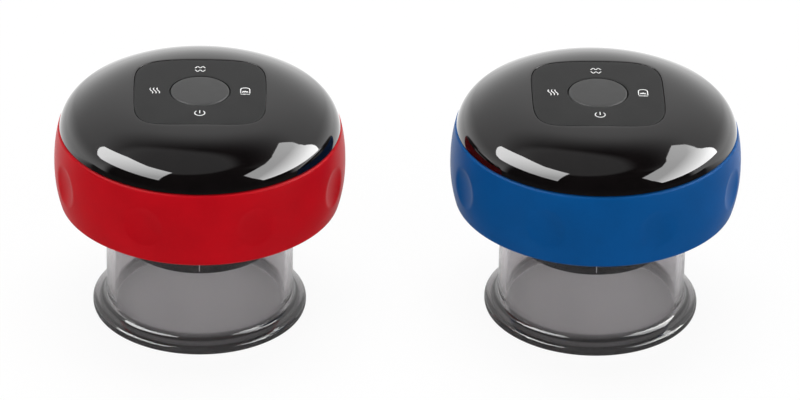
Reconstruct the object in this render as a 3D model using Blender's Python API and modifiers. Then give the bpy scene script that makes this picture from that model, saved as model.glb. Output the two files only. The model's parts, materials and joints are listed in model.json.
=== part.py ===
"""Massage cup set: two electric cupping devices that stand side by side on their cups.

Each device is a clear cup with a wide foot, and a palm-sized head that drops over the cup's neck and locks
there with a three-lug bayonet. The head has a coloured grip ring with eight finger dimples, a glossy dome,
a soft key pad with a centre button, and inside it a vacuum pump, a release valve, a cell and two boards.
Metres, +Z up, the cups' rims on Z = 0. The front of each device faces -Y.
"""

import math

import bmesh
import bpy
from mathutils import Matrix, Vector

# The set
UNIT_SPACING = 0.1252

# Clearances
FIT_GAP = 0.0003
OVERRUN = 0.0010
SINK = 0.0004
WELD = 0.00001

# Grip ring
HEAD_RADIUS = 0.0460
RING_FOOT_HEIGHT = 0.0388
RING_HEIGHT = 0.0254
RING_WALL = 0.0030
RING_TOP_INSET = 0.0014
RING_FOOT_INSET = 0.0018
RING_LEDGE = 0.0016
RING_LEDGE_DEPTH = 0.0024
RING_SPIGOT_DEPTH = 0.0034
BARREL_POWER = 2.2
BARREL_WAIST_share = 0.52

# Finger dimples
DIMPLE_COUNT = 8
DIMPLE_WIDTH = 0.0127
DIMPLE_HEIGHT = 0.0155
DIMPLE_DEPTH = 0.0012
DIMPLE_BALL_RADIUS = 0.0030
DIMPLE_PLACE_share = 0.50

# Dome cover
SHOULDER_RADIUS = 0.0097
SHOULDER_START_DEG = 9.0
SHOULDER_END_DEG = 60.0
CROWN_RISE = 0.0053
CROWN_POWER = 4.3
DOME_WALL = 0.0022
SPIGOT_WALL = 0.0014
SPIGOT_DEPTH = 0.0030
DECK_WALL = 0.0022
BOSS_RADIUS = 0.0022

# Key pad, centre button and key pins
PAD_WIDTH = 0.0414
PAD_SQUARENESS = 4.5
BUTTON_RADIUS = 0.0093
BUTTON_PROUD = 0.0001
BUTTON_EDGE = 0.0007
BUTTON_TRAVEL = 0.0006
STEM_RADIUS = 0.0026
PIN_RADIUS = 0.0012
KEY_TRAVEL = 0.00025
KEY_PLACE_RADIUS = 0.0146

# Key board
BOARD_THICKNESS = 0.0016
KEY_BOARD_WIDTH = 0.0410
KEY_BOARD_SQUARENESS = 12.0
SWITCH_WIDTH = 0.0060
SWITCH_HEIGHT = 0.0024
PIN_REACH = 0.0006

# Base plate
BASE_THICKNESS = 0.0024
BASE_RECESS = 0.0015
HUB_RADIUS = 0.0236
HUB_WALL = 0.0020
HUB_DEPTH = 0.0161
HUB_CHAMFER = 0.0008
HUB_SHOULDER = 0.0014
HUB_RIB_DEPTH = 0.0017
HUB_RIB = 0.0010
LEDGE_WIDTH = 0.0041
LEDGE_THICKNESS = 0.0016
LEDGE_LIFT = 0.0018

# Bayonet
LUG_COUNT = 3
LUG_SPAN_DEG = 40.0
LUG_STOP_DEG = 5.0
LUG_HEIGHT = 0.0022
LUG_DEPTH = 0.0013
LUG_RUN_GAP = 0.0004
LUG_SINK = 0.0007
COLLAR_WALL = 0.0023

# Cup
SEAL_ROOM = 0.0036
CUP_WALL = 0.0025
CUP_LUG_DROP = 0.0014
FOOT_FLARE = 0.0043
FOOT_HEIGHT = 0.0050
RIM_WIDTH = 0.0056
RIM_ROUND = 0.0006

# Cup seal
SEAL_HEIGHT = 0.0029
SEAL_LIP = 0.0006

# Heat plate, lamp board, filter
HEAT_PLATE_THICKNESS = 0.0013
LAMP_COUNT = 6
LAMP_RADIUS = 0.0014
LAMP_INSET = 0.0030
LAMP_LENGTH = 0.0030
LAMP_BOARD_THICKNESS = 0.0014
FILTER_RADIUS = 0.0017
FILTER_LENGTH = 0.0028

# Chassis
CHASSIS_THICKNESS = 0.0018
CHASSIS_HOLE_RADIUS = 0.0060
SADDLE_THICKNESS = 0.0030
SADDLE_HEIGHT = 0.0050
SADDLE_SIDE_share = 0.80

# Cell
CELL_HEAD_ROOM = 0.00268
CELL_END_ROOM = 0.00197
CELL_OFFSET = 0.0165
CELL_TIP_RADIUS = 0.0032
CELL_TIP = 0.0008
CELL_SADDLE_PLACE_share = 0.68

# Air pump
PUMP_PLACE_share = 0.37
PUMP_HEAD_ROOM = 0.00188
PUMP_BLOCK_SQUARENESS = 5.0
PUMP_BLOCK_LENGTH = 0.0140
PUMP_CAVITY_WALL = 0.0021
PUMP_CAVITY_DEPTH = 0.0112
PUMP_CAP_THICKNESS = 0.0046
DIAPHRAGM_STEP = 0.0016
DIAPHRAGM_THICKNESS = 0.0015
DIAPHRAGM_CROWN = 0.0008
MOTOR_STEP = 0.0006
MOTOR_LENGTH = 0.0260
MOTOR_BOSS_RADIUS = 0.0030
MOTOR_BOSS = 0.0016
MOTOR_FACE_PLACE = -0.0030
SHAFT_RADIUS = 0.0010
SHAFT_BORE_DEPTH = 0.0080
SHAFT_REACH = 0.0072
ECCENTRIC_RADIUS = 0.0040
ECCENTRIC_OFFSET = 0.0010
ECCENTRIC_LENGTH = 0.0030
ECCENTRIC_LEAD = 0.0030
CRANK_PIN_RADIUS = 0.0010
CRANK_PIN_LENGTH = 0.0022
CRANK_PIN_OFFSET = 0.0028
NIPPLE_RADIUS = 0.0016
NIPPLE_LENGTH = 0.0032
HOSE_RADIUS = 0.0020
HOSE_BEND = 0.0090

# Air manifold and release valve
MANIFOLD_RADIUS = 0.0026
MANIFOLD_BORE_RADIUS = 0.0011
MANIFOLD_RISE = 0.0036
BRANCH_RADIUS = 0.0015
VALVE_PLACE = 0.0140
VALVE_RADIUS = 0.0042
VALVE_HEIGHT = 0.0120
VALVE_TRAVEL = 0.0011
PLUNGER_RADIUS = 0.0012
PLUNGER_HEAD_RADIUS = 0.0021
PLUNGER_HEAD = 0.0012
PLUNGER_ENGAGED = 0.0052

# Charging board and port
CHARGE_BOARD_WIDTH = 0.0280
CHARGE_BOARD_DEPTH = 0.0120
CHARGE_BOARD_THICKNESS = 0.0012
PORT_WIDTH = 0.00894
PORT_HEIGHT = 0.00326
PORT_LENGTH = 0.0073
PORT_WALL = 0.0003
PORT_CAVITY = 0.0062
PORT_INSET = 0.0014
TONGUE_WIDTH = 0.0067
TONGUE_THICKNESS = 0.0007
TONGUE_LENGTH = 0.0046

# Facets round the turned pieces
RING_SEGMENTS = 36
CUP_SEGMENTS = 28
BASE_SEGMENTS = 24
BUTTON_SEGMENTS = 20
SMALL_SEGMENTS = 14
TINY_SEGMENTS = 8
LAMP_SEGMENTS = 6
DIMPLE_SEGMENTS = 12
DIMPLE_RINGS = 10
BARREL_STEPS = 3
SHOULDER_STEPS = 4
CROWN_STEPS = 5
HOLLOW_STEPS = 2
ARC_STEPS = 4
PAD_STEPS = 28

# Foot outline: share of the way out from wall to foot edge, share of the foot's height
FOOT_OUTLINE_shares = (
    (0.00, 1.00), (0.10, 0.78), (0.30, 0.64), (0.45, 0.69), (0.59, 0.64),
    (0.75, 0.50), (0.94, 0.46), (1.00, 0.36), (1.00, 0.14), (0.88, 0.00),
)

# Heights worked out from the sizes above, from the table up
RING_TOP = RING_FOOT_HEIGHT + RING_HEIGHT
SEAM = RING_TOP + FIT_GAP
BASE_LOW = RING_FOOT_HEIGHT + BASE_RECESS
BASE_TOP = BASE_LOW + BASE_THICKNESS
LEDGE_LOW = BASE_TOP + FIT_GAP
CUP_HEIGHT = BASE_LOW - FIT_GAP
CUP_BORE = HUB_RADIUS + SEAL_ROOM
CUP_RADIUS = CUP_BORE + CUP_WALL
FOOT_RADIUS = CUP_RADIUS + FOOT_FLARE
CUP_LUG_RADIUS = CUP_RADIUS + LUG_DEPTH
CUP_LUG_LOW = CUP_HEIGHT - CUP_LUG_DROP - LUG_HEIGHT
HEAD_LUG_LOW = CUP_LUG_LOW - LUG_RUN_GAP - LUG_HEIGHT
COLLAR_BORE = CUP_LUG_RADIUS + LUG_RUN_GAP
COLLAR_RADIUS = COLLAR_BORE + COLLAR_WALL
COLLAR_LOW = HEAD_LUG_LOW - FIT_GAP
HUB_LOW = BASE_LOW - HUB_DEPTH
HUB_BORE = HUB_RADIUS - HUB_WALL
HUB_SHOULDER_RADIUS = CUP_BORE - FIT_GAP
HUB_RIB_RADIUS = HUB_RADIUS + HUB_RIB_DEPTH
SEAL_TOP = BASE_LOW - HUB_SHOULDER - FIT_GAP
SEAL_LOW = SEAL_TOP - SEAL_HEIGHT
HUB_RIB_TOP = SEAL_LOW - FIT_GAP
LEDGE_FLOOR = HUB_LOW + LEDGE_LIFT
LEDGE_BORE = HUB_BORE - LEDGE_WIDTH
LAMP_CIRCLE_RADIUS = LEDGE_BORE - LAMP_INSET
CHASSIS_LOW = BASE_TOP + FIT_GAP
CHASSIS_TOP = CHASSIS_LOW + CHASSIS_THICKNESS
CHASSIS_RADIUS = HEAD_RADIUS - RING_FOOT_INSET - RING_WALL - RING_LEDGE_DEPTH - FIT_GAP
MANIFOLD_LOW = HUB_LOW + FIT_GAP
MANIFOLD_TOP = CHASSIS_TOP + MANIFOLD_RISE
BRANCH_HEIGHT = CHASSIS_TOP + MANIFOLD_RISE / 2
VALVE_LOW = CHASSIS_TOP + FIT_GAP
VALVE_TOP = VALVE_LOW + VALVE_HEIGHT
VALVE_BORE_DEPTH = PLUNGER_ENGAGED + VALVE_TRAVEL + FIT_GAP

# The dome's shoulder is an arc that starts at the seam, and the crown flattens from its end to the pad
SEAM_RADIUS = HEAD_RADIUS - RING_TOP_INSET - FIT_GAP
SHOULDER_CENTRE_RADIUS = SEAM_RADIUS - SHOULDER_RADIUS * math.cos(math.radians(SHOULDER_START_DEG))
SHOULDER_CENTRE_HEIGHT = SEAM - SHOULDER_RADIUS * math.sin(math.radians(SHOULDER_START_DEG))
CROWN_RADIUS = SHOULDER_CENTRE_RADIUS + SHOULDER_RADIUS * math.cos(math.radians(SHOULDER_END_DEG))
CROWN_LOW = SHOULDER_CENTRE_HEIGHT + SHOULDER_RADIUS * math.sin(math.radians(SHOULDER_END_DEG))
DOME_TOP = CROWN_LOW + CROWN_RISE
DOME_INNER_RADIUS = SHOULDER_RADIUS - DOME_WALL
CEILING = SHOULDER_CENTRE_HEIGHT + DOME_INNER_RADIUS
DECK_TOP = CEILING + DECK_WALL
PAD_LOW = DECK_TOP + FIT_GAP

# Key board and what stands on it
SWITCH_TOP = CEILING - FIT_GAP
BOARD_TOP = SWITCH_TOP - SWITCH_HEIGHT
BOARD_LOW = BOARD_TOP - BOARD_THICKNESS
BUTTON_LOW = DECK_TOP + BUTTON_TRAVEL + FIT_GAP
STEM_LOW = SWITCH_TOP + BUTTON_TRAVEL + FIT_GAP
PIN_LOW = SWITCH_TOP - PIN_REACH
SWITCH_BORE_DEPTH = PIN_REACH + max(BUTTON_TRAVEL, KEY_TRAVEL) + FIT_GAP

# The cell and the pump fill the room between the tray and the key board
INNER_ROOM = BOARD_LOW - CHASSIS_TOP - FIT_GAP
CELL_RADIUS = (INNER_ROOM - CELL_HEAD_ROOM) / 2
CELL_AXIS = CHASSIS_TOP + FIT_GAP + CELL_RADIUS
CELL_REACH = math.sqrt((HEAD_RADIUS - RING_WALL) ** 2 - (CELL_OFFSET + CELL_RADIUS) ** 2)
CELL_LENGTH = 2 * (CELL_REACH - CELL_END_ROOM)
PUMP_OFFSET = HEAD_RADIUS * PUMP_PLACE_share
PUMP_BLOCK_WIDTH = INNER_ROOM - PUMP_HEAD_ROOM
PUMP_AXIS = CHASSIS_TOP + FIT_GAP + PUMP_BLOCK_WIDTH / 2
PUMP_CAVITY_RADIUS = PUMP_BLOCK_WIDTH / 2 - PUMP_CAVITY_WALL
DIAPHRAGM_RADIUS = PUMP_BLOCK_WIDTH / 2 - DIAPHRAGM_STEP
MOTOR_RADIUS = PUMP_BLOCK_WIDTH / 2 - MOTOR_STEP

# The pump's pieces lie in a row along X, from the motor's face towards -X
BLOCK_START = MOTOR_FACE_PLACE - FIT_GAP
BLOCK_END = BLOCK_START - PUMP_BLOCK_LENGTH
DIAPHRAGM_START = BLOCK_END - FIT_GAP
DIAPHRAGM_END = DIAPHRAGM_START - DIAPHRAGM_THICKNESS
CAP_START = DIAPHRAGM_END - FIT_GAP
CAP_END = CAP_START - PUMP_CAP_THICKNESS
NIPPLE_PLACE = (CAP_START + CAP_END) / 2
NIPPLE_TIP = PUMP_BLOCK_WIDTH / 2 + NIPPLE_LENGTH - PUMP_OFFSET

# Angles of the bayonet: the head's lugs drop between the cup's, then turn clockwise to lock
LUG_STEP_DEG = 360 / LUG_COUNT
FRONT_DEG = -90.0

RED = (0.52, 0.008, 0.018)
BLUE = (0.012, 0.085, 0.26)
BLACK_GLOSS = (0.006, 0.006, 0.006)
BLACK_MATTE = (0.014, 0.014, 0.015)
PAD_GREY = (0.048, 0.048, 0.049)
BUTTON_GREY = (0.095, 0.095, 0.096)
SMOKE = (0.34, 0.33, 0.335)
SILICONE = (0.62, 0.62, 0.60)
ALUMINIUM = (0.78, 0.78, 0.79)
STEEL = (0.62, 0.62, 0.64)
BOARD_GREEN = (0.02, 0.14, 0.06)
CELL_BLUE = (0.03, 0.16, 0.42)
NYLON = (0.80, 0.79, 0.75)


class Device:
    """One of the two devices: its name, place, collections and materials."""

    def __init__(self, name, place, grip_colour, parts, cutters):
        self.name = name
        self.grip_colour = grip_colour
        self.parts = parts
        self.cutters = cutters
        self.anchor = bpy.data.objects.new(name + "_axis", None)
        self.anchor.location = (place, 0, 0)
        parts.objects.link(self.anchor)

    def place(self, piece, location, material):
        """Names, places and parents a finished piece."""
        piece.location = location
        piece.parent = self.anchor
        if material is None:
            piece.hide_render = True
            piece.display_type = "WIRE"
            self.cutters.objects.link(piece)
        else:
            piece.data.materials.append(material)
            self.parts.objects.link(piece)
        return piece

    def material(self, name, colour, roughness, metallic=0.0, alpha=1.0):
        """A Principled material of this device."""
        surface = bpy.data.materials.new(self.name + "_" + name)
        surface.use_nodes = True
        shader = surface.node_tree.nodes["Principled BSDF"]
        shader.inputs["Base Color"].default_value = (*colour, 1.0)
        shader.inputs["Roughness"].default_value = roughness
        shader.inputs["Metallic"].default_value = metallic
        shader.inputs["Alpha"].default_value = alpha
        return surface


def turned(device, name, profile, segments, material, closed=True, location=(0, 0, 0)):
    """A profile in the XZ plane, outer side first and downwards, turned round Z by a Screw modifier."""
    mesh = bpy.data.meshes.new(name)
    shape = bmesh.new()
    verts = [shape.verts.new((radius, 0, height)) for radius, height in profile]
    pairs = list(zip(verts, verts[1:]))
    if closed:
        pairs.append((verts[-1], verts[0]))
    for pair in pairs:
        shape.edges.new(pair)
    shape.to_mesh(mesh)
    shape.free()
    piece = bpy.data.objects.new(name, mesh)
    screw = piece.modifiers.new("Turn", "SCREW")
    screw.axis = "Z"
    screw.angle = math.tau
    screw.steps = segments
    screw.render_steps = segments
    screw.use_merge_vertices = True
    screw.merge_threshold = WELD
    screw.use_smooth_shade = True
    return device.place(piece, location, material)


def plate(device, name, outline, low, high, material, place=(0, 0)):
    """A flat outline filled and extruded between two heights."""
    curve = bpy.data.curves.new(name, "CURVE")
    curve.dimensions = "2D"
    curve.fill_mode = "BOTH"
    curve.extrude = (high - low) / 2
    line = curve.splines.new("POLY")
    line.points.add(len(outline) - 1)
    for point, (x, y) in zip(line.points, outline):
        point.co = (x, y, 0, 1)
    line.use_cyclic_u = True
    piece = meshed(curve, name)
    return device.place(piece, (place[0], place[1], (low + high) / 2), material)


def meshed(curve, name):
    """Turns a curve into a mesh object with its caps welded on, and removes the curve."""
    holder = bpy.data.objects.new(name + "_curve", curve)
    bpy.context.scene.collection.objects.link(holder)
    bpy.context.view_layer.update()
    evaluated = holder.evaluated_get(bpy.context.evaluated_depsgraph_get())
    mesh = bpy.data.meshes.new_from_object(evaluated)
    mesh.name = name
    bpy.data.objects.remove(holder)
    bpy.data.curves.remove(curve)
    shape = bmesh.new()
    shape.from_mesh(mesh)
    bmesh.ops.remove_doubles(shape, verts=shape.verts, dist=WELD)
    bmesh.ops.recalc_face_normals(shape, faces=shape.faces)
    shape.to_mesh(mesh)
    shape.free()
    return bpy.data.objects.new(name, mesh)


def rod(device, name, start, end, radius, segments, material, tip_radius=None):
    """A straight round rod between two points, its origin at the start."""
    start = Vector(start)
    along = Vector(end) - start
    mesh = bpy.data.meshes.new(name)
    shape = bmesh.new()
    bmesh.ops.create_cone(
        shape, cap_ends=True, segments=segments, radius1=radius,
        radius2=radius if tip_radius is None else tip_radius, depth=along.length,
        matrix=Matrix.Translation((0, 0, along.length / 2)),
    )
    shape.to_mesh(mesh)
    shape.free()
    piece = bpy.data.objects.new(name, mesh)
    piece.rotation_euler = along.to_track_quat("Z", "Y").to_euler()
    return device.place(piece, start, material)


def box(device, name, low, high, material):
    """A box between two corners, its origin in its middle."""
    low = Vector(low)
    high = Vector(high)
    mesh = bpy.data.meshes.new(name)
    shape = bmesh.new()
    bmesh.ops.create_cube(shape, size=1, matrix=Matrix.Diagonal((*(high - low), 1)))
    shape.to_mesh(mesh)
    shape.free()
    return device.place(bpy.data.objects.new(name, mesh), (low + high) / 2, material)


def shape_with(piece, other, operation):
    """A Boolean of two pieces: UNION, DIFFERENCE or INTERSECT."""
    step = piece.modifiers.new(operation.title(), "BOOLEAN")
    step.operation = operation
    step.solver = "EXACT"
    step.object = other
    return piece


def cut(piece, *cutters):
    """Takes each cutter out of a piece."""
    for cutter in cutters:
        shape_with(piece, cutter, "DIFFERENCE")
    return piece


def join(piece, *extras):
    """Fuses each extra into a piece."""
    for extra in extras:
        shape_with(piece, extra, "UNION")
    return piece


def arc_outline(inner, outer, start_deg, end_deg):
    """The outline of a curved block between two radii and two angles."""
    step_deg = (end_deg - start_deg) / ARC_STEPS
    angles = [math.radians(start_deg + step_deg * step) for step in range(ARC_STEPS + 1)]
    outside = [(outer * math.cos(angle), outer * math.sin(angle)) for angle in angles]
    inside = [(inner * math.cos(angle), inner * math.sin(angle)) for angle in reversed(angles)]
    return outside + inside


def soft_square(width, height, squareness, steps):
    """A superellipse: a square with round corners and slightly bowed sides."""
    points = []
    for step in range(steps):
        angle = math.tau * (step + 0.5) / steps
        x = math.copysign(abs(math.cos(angle)) ** (2 / squareness), math.cos(angle))
        y = math.copysign(abs(math.sin(angle)) ** (2 / squareness), math.sin(angle))
        points.append((x * width / 2, y * height / 2))
    return points


def round_slot(width, height):
    """A slot with half-round ends, lying along X."""
    radius = height / 2
    points = []
    for side in (1, -1):
        for step in range(ARC_STEPS + 1):
            angle = math.pi * step / ARC_STEPS - math.pi / 2
            out = width / 2 - radius + radius * math.cos(angle)
            points.append((side * out, side * radius * math.sin(angle)))
    return points


def ring_of(count, radius, start_deg=0.0):
    """Points spaced evenly round a circle."""
    angles = [math.radians(start_deg + 360 * step / count) for step in range(count)]
    return [(radius * math.cos(angle), radius * math.sin(angle)) for angle in angles]


def barrel_radius(share):
    """Outer radius of the grip ring at a share of its height."""
    if share > BARREL_WAIST_share:
        away = (share - BARREL_WAIST_share) / (1 - BARREL_WAIST_share)
        return HEAD_RADIUS - RING_TOP_INSET * away ** BARREL_POWER
    away = (BARREL_WAIST_share - share) / BARREL_WAIST_share
    return HEAD_RADIUS - RING_FOOT_INSET * away ** BARREL_POWER


def shoulder_point(radius, angle_deg):
    """A point of an arc about the centre of the dome's shoulder."""
    angle = math.radians(angle_deg)
    out = SHOULDER_CENTRE_RADIUS + radius * math.cos(angle)
    return (out, SHOULDER_CENTRE_HEIGHT + radius * math.sin(angle))


def crown_height(radius):
    """Height of the dome's crown at a radius."""
    return DOME_TOP - CROWN_RISE * (radius / CROWN_RADIUS) ** CROWN_POWER


def crown_line():
    """Points of the crown from the axis out to the shoulder, which the dome and the pad share."""
    radii = [CROWN_RADIUS * step / CROWN_STEPS for step in range(CROWN_STEPS + 1)]
    return [(radius, crown_height(radius)) for radius in radii]


def grip_ring(device):
    """Coloured barrel with an inner ledge for the base plate, eight finger dimples and the charging slot."""
    above = 1 - BARREL_WAIST_share
    upper = [BARREL_WAIST_share + above * step / BARREL_STEPS for step in range(BARREL_STEPS, 0, -1)]
    lower = [BARREL_WAIST_share * step / BARREL_STEPS for step in range(BARREL_STEPS, -1, -1)]
    outer = [(barrel_radius(share), RING_FOOT_HEIGHT + RING_HEIGHT * share) for share in upper + lower]
    foot_bore = HEAD_RADIUS - RING_FOOT_INSET - RING_WALL + FIT_GAP
    ledge_bore = CHASSIS_RADIUS + FIT_GAP
    ledge_top = LEDGE_LOW + RING_LEDGE
    main_bore = HEAD_RADIUS - RING_WALL
    top_bore = HEAD_RADIUS - RING_TOP_INSET - RING_WALL
    inner = [
        (foot_bore, RING_FOOT_HEIGHT), (foot_bore, LEDGE_LOW), (ledge_bore, LEDGE_LOW),
        (ledge_bore, ledge_top), (main_bore, ledge_top), (main_bore, RING_TOP - RING_SPIGOT_DEPTH),
        (top_bore, RING_TOP - RING_SPIGOT_DEPTH), (top_bore, RING_TOP),
    ]
    soft = device.material("grip", device.grip_colour, 0.42)
    ring = turned(device, device.name + "_grip_ring", outer + inner, RING_SEGMENTS, soft)
    slot = plate(
        device, device.name + "_port_slot", round_slot(PORT_WIDTH + 2 * FIT_GAP, PORT_HEIGHT + 2 * FIT_GAP),
        0, RING_WALL + 2 * OVERRUN, None,
    )
    slot.location = (0, HEAD_RADIUS - RING_WALL / 2, port_height())
    slot.rotation_euler = (math.pi / 2, 0, 0)
    return cut(ring, dimple_cutter(device), slot)


def dimple_cutter(device):
    """Eight flattened balls, sunk a little into the barrel, whose caps are the finger dimples."""
    sag = HEAD_RADIUS - math.sqrt(HEAD_RADIUS ** 2 - (DIMPLE_WIDTH / 2) ** 2)
    height_share = (DIMPLE_BALL_RADIUS - DIMPLE_DEPTH) / DIMPLE_BALL_RADIUS
    width_share = (DIMPLE_BALL_RADIUS - DIMPLE_DEPTH + sag) / DIMPLE_BALL_RADIUS
    across = DIMPLE_WIDTH / 2 / math.sqrt(1 - width_share ** 2)
    upright = DIMPLE_HEIGHT / 2 / math.sqrt(1 - height_share ** 2)
    height = RING_FOOT_HEIGHT + RING_HEIGHT * DIMPLE_PLACE_share
    reach = HEAD_RADIUS + DIMPLE_BALL_RADIUS - DIMPLE_DEPTH
    mesh = bpy.data.meshes.new("dimples")
    shape = bmesh.new()
    for step in range(DIMPLE_COUNT):
        turn = Matrix.Rotation(math.tau * (step + 0.5) / DIMPLE_COUNT, 4, "Z")
        tip = Matrix.Rotation(math.pi / 2, 4, "Y")
        size = Matrix.Diagonal((upright, across, DIMPLE_BALL_RADIUS, 1))
        bmesh.ops.create_uvsphere(
            shape, u_segments=DIMPLE_SEGMENTS, v_segments=DIMPLE_RINGS, radius=1,
            matrix=turn @ Matrix.Translation((reach, 0, 0)) @ tip @ size,
        )
    shape.to_mesh(mesh)
    shape.free()
    return device.place(bpy.data.objects.new(device.name + "_dimples", mesh), (0, 0, height), None)


def dome_cover(device):
    """Glossy dome: a round shoulder, a crown that flattens towards the pad, and a spigot in the ring."""
    sweep = SHOULDER_END_DEG - SHOULDER_START_DEG
    outer = crown_line()[:-1] + [
        shoulder_point(SHOULDER_RADIUS, SHOULDER_END_DEG - sweep * step / SHOULDER_STEPS)
        for step in range(SHOULDER_STEPS + 1)
    ]
    spigot_radius = HEAD_RADIUS - RING_TOP_INSET - RING_WALL - FIT_GAP
    spigot_bore = spigot_radius - SPIGOT_WALL
    start = math.degrees(math.acos((spigot_bore - SHOULDER_CENTRE_RADIUS) / DOME_INNER_RADIUS))
    spigot = [(spigot_radius, SEAM), (spigot_radius, SEAM - SPIGOT_DEPTH), (spigot_bore, SEAM - SPIGOT_DEPTH)]
    inner = [
        shoulder_point(DOME_INNER_RADIUS, start + (90 - start) * step / HOLLOW_STEPS)
        for step in range(HOLLOW_STEPS + 1)
    ]
    gloss = device.material("dome", BLACK_GLOSS, 0.06)
    dome = turned(
        device, device.name + "_dome_cover", outer + spigot + inner + [(0, CEILING)], RING_SEGMENTS, gloss,
        closed=False,
    )
    recess_width = PAD_WIDTH + 2 * FIT_GAP
    recess = plate(
        device, device.name + "_pad_recess",
        soft_square(recess_width, recess_width, PAD_SQUARENESS, PAD_STEPS), DECK_TOP, DOME_TOP + OVERRUN, None,
    )
    for number, (x, y) in enumerate(ring_of(4, math.hypot(KEY_PLACE_RADIUS, KEY_PLACE_RADIUS), 45)):
        boss = rod(
            device, f"{device.name}_boss_{number}", (x, y, BOARD_TOP + FIT_GAP), (x, y, CEILING + SINK),
            BOSS_RADIUS, TINY_SEGMENTS, None,
        )
        join(dome, boss)
    cut(dome, recess)
    for number, (x, y) in enumerate(ring_of(4, KEY_PLACE_RADIUS)):
        cut(dome, rod(
            device, f"{device.name}_pin_hole_{number}", (x, y, CEILING - OVERRUN), (x, y, DECK_TOP + OVERRUN),
            PIN_RADIUS + FIT_GAP, TINY_SEGMENTS, None,
        ))
    return cut(dome, rod(
        device, device.name + "_stem_hole", (0, 0, CEILING - OVERRUN), (0, 0, DECK_TOP + OVERRUN),
        STEM_RADIUS + FIT_GAP, TINY_SEGMENTS, None,
    ))


def key_pad(device):
    """Soft square pad that carries on the crown's curve, with a round hole for the centre button."""
    soft = device.material("key_pad", PAD_GREY, 0.62)
    pad = plate(
        device, device.name + "_key_pad", soft_square(PAD_WIDTH, PAD_WIDTH, PAD_SQUARENESS, PAD_STEPS),
        PAD_LOW, DOME_TOP + OVERRUN, soft,
    )
    cap = turned(
        device, device.name + "_pad_crown", crown_line() + [(CROWN_RADIUS, CEILING), (0, CEILING)],
        RING_SEGMENTS, None, closed=False,
    )
    hole = rod(
        device, device.name + "_pad_hole", (0, 0, DECK_TOP), (0, 0, DOME_TOP + 2 * OVERRUN),
        BUTTON_RADIUS + FIT_GAP, BUTTON_SEGMENTS, None,
    )
    return cut(shape_with(pad, cap, "INTERSECT"), hole)


def centre_button(device):
    """Round push button: a crowned disc on a stem whose tip presses the middle switch."""
    grey = device.material("button", BUTTON_GREY, 0.50)
    top = crown_height(BUTTON_RADIUS) + BUTTON_PROUD
    profile = [
        (0, top + BUTTON_EDGE / 4), (BUTTON_RADIUS - 2 * BUTTON_EDGE, top),
        (BUTTON_RADIUS - BUTTON_EDGE / 3, top - BUTTON_EDGE / 4),
        (BUTTON_RADIUS, top - BUTTON_EDGE), (BUTTON_RADIUS, BUTTON_LOW), (STEM_RADIUS, BUTTON_LOW),
        (STEM_RADIUS, STEM_LOW), (PIN_RADIUS, STEM_LOW), (PIN_RADIUS, PIN_LOW), (0, PIN_LOW),
    ]
    return turned(
        device, device.name + "_centre_button", profile, BUTTON_SEGMENTS, grey, closed=False,
    )


def key_pins(device):
    """Four switch pins under the pad's symbols: heat left, suction right, mode back, power front."""
    nylon = device.material("key_pins", NYLON, 0.45)
    places = zip(("suction", "mode", "heat", "power"), ring_of(4, KEY_PLACE_RADIUS))
    return [
        rod(
            device, f"{device.name}_key_pin_{name}", (x, y, PIN_LOW), (x, y, PAD_LOW - FIT_GAP),
            PIN_RADIUS, TINY_SEGMENTS, nylon,
        )
        for name, (x, y) in places
    ]


def key_board(device):
    """Upper circuit board with five tact switches, screwed under the dome."""
    green = device.material("key_board", BOARD_GREEN, 0.40)
    outline = soft_square(KEY_BOARD_WIDTH, KEY_BOARD_WIDTH, KEY_BOARD_SQUARENESS, PAD_STEPS)
    board = plate(device, device.name + "_key_board", outline, BOARD_LOW, BOARD_TOP, green)
    for number, (x, y) in enumerate(ring_of(4, KEY_PLACE_RADIUS) + [(0, 0)]):
        half = SWITCH_WIDTH / 2
        join(board, box(
            device, f"{device.name}_switch_{number}", (x - half, y - half, BOARD_TOP - SINK),
            (x + half, y + half, SWITCH_TOP), None,
        ))
        cut(board, rod(
            device, f"{device.name}_switch_bore_{number}", (x, y, SWITCH_TOP - SWITCH_BORE_DEPTH),
            (x, y, SWITCH_TOP + OVERRUN), PIN_RADIUS + FIT_GAP, TINY_SEGMENTS, None,
        ))
    return board


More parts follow.
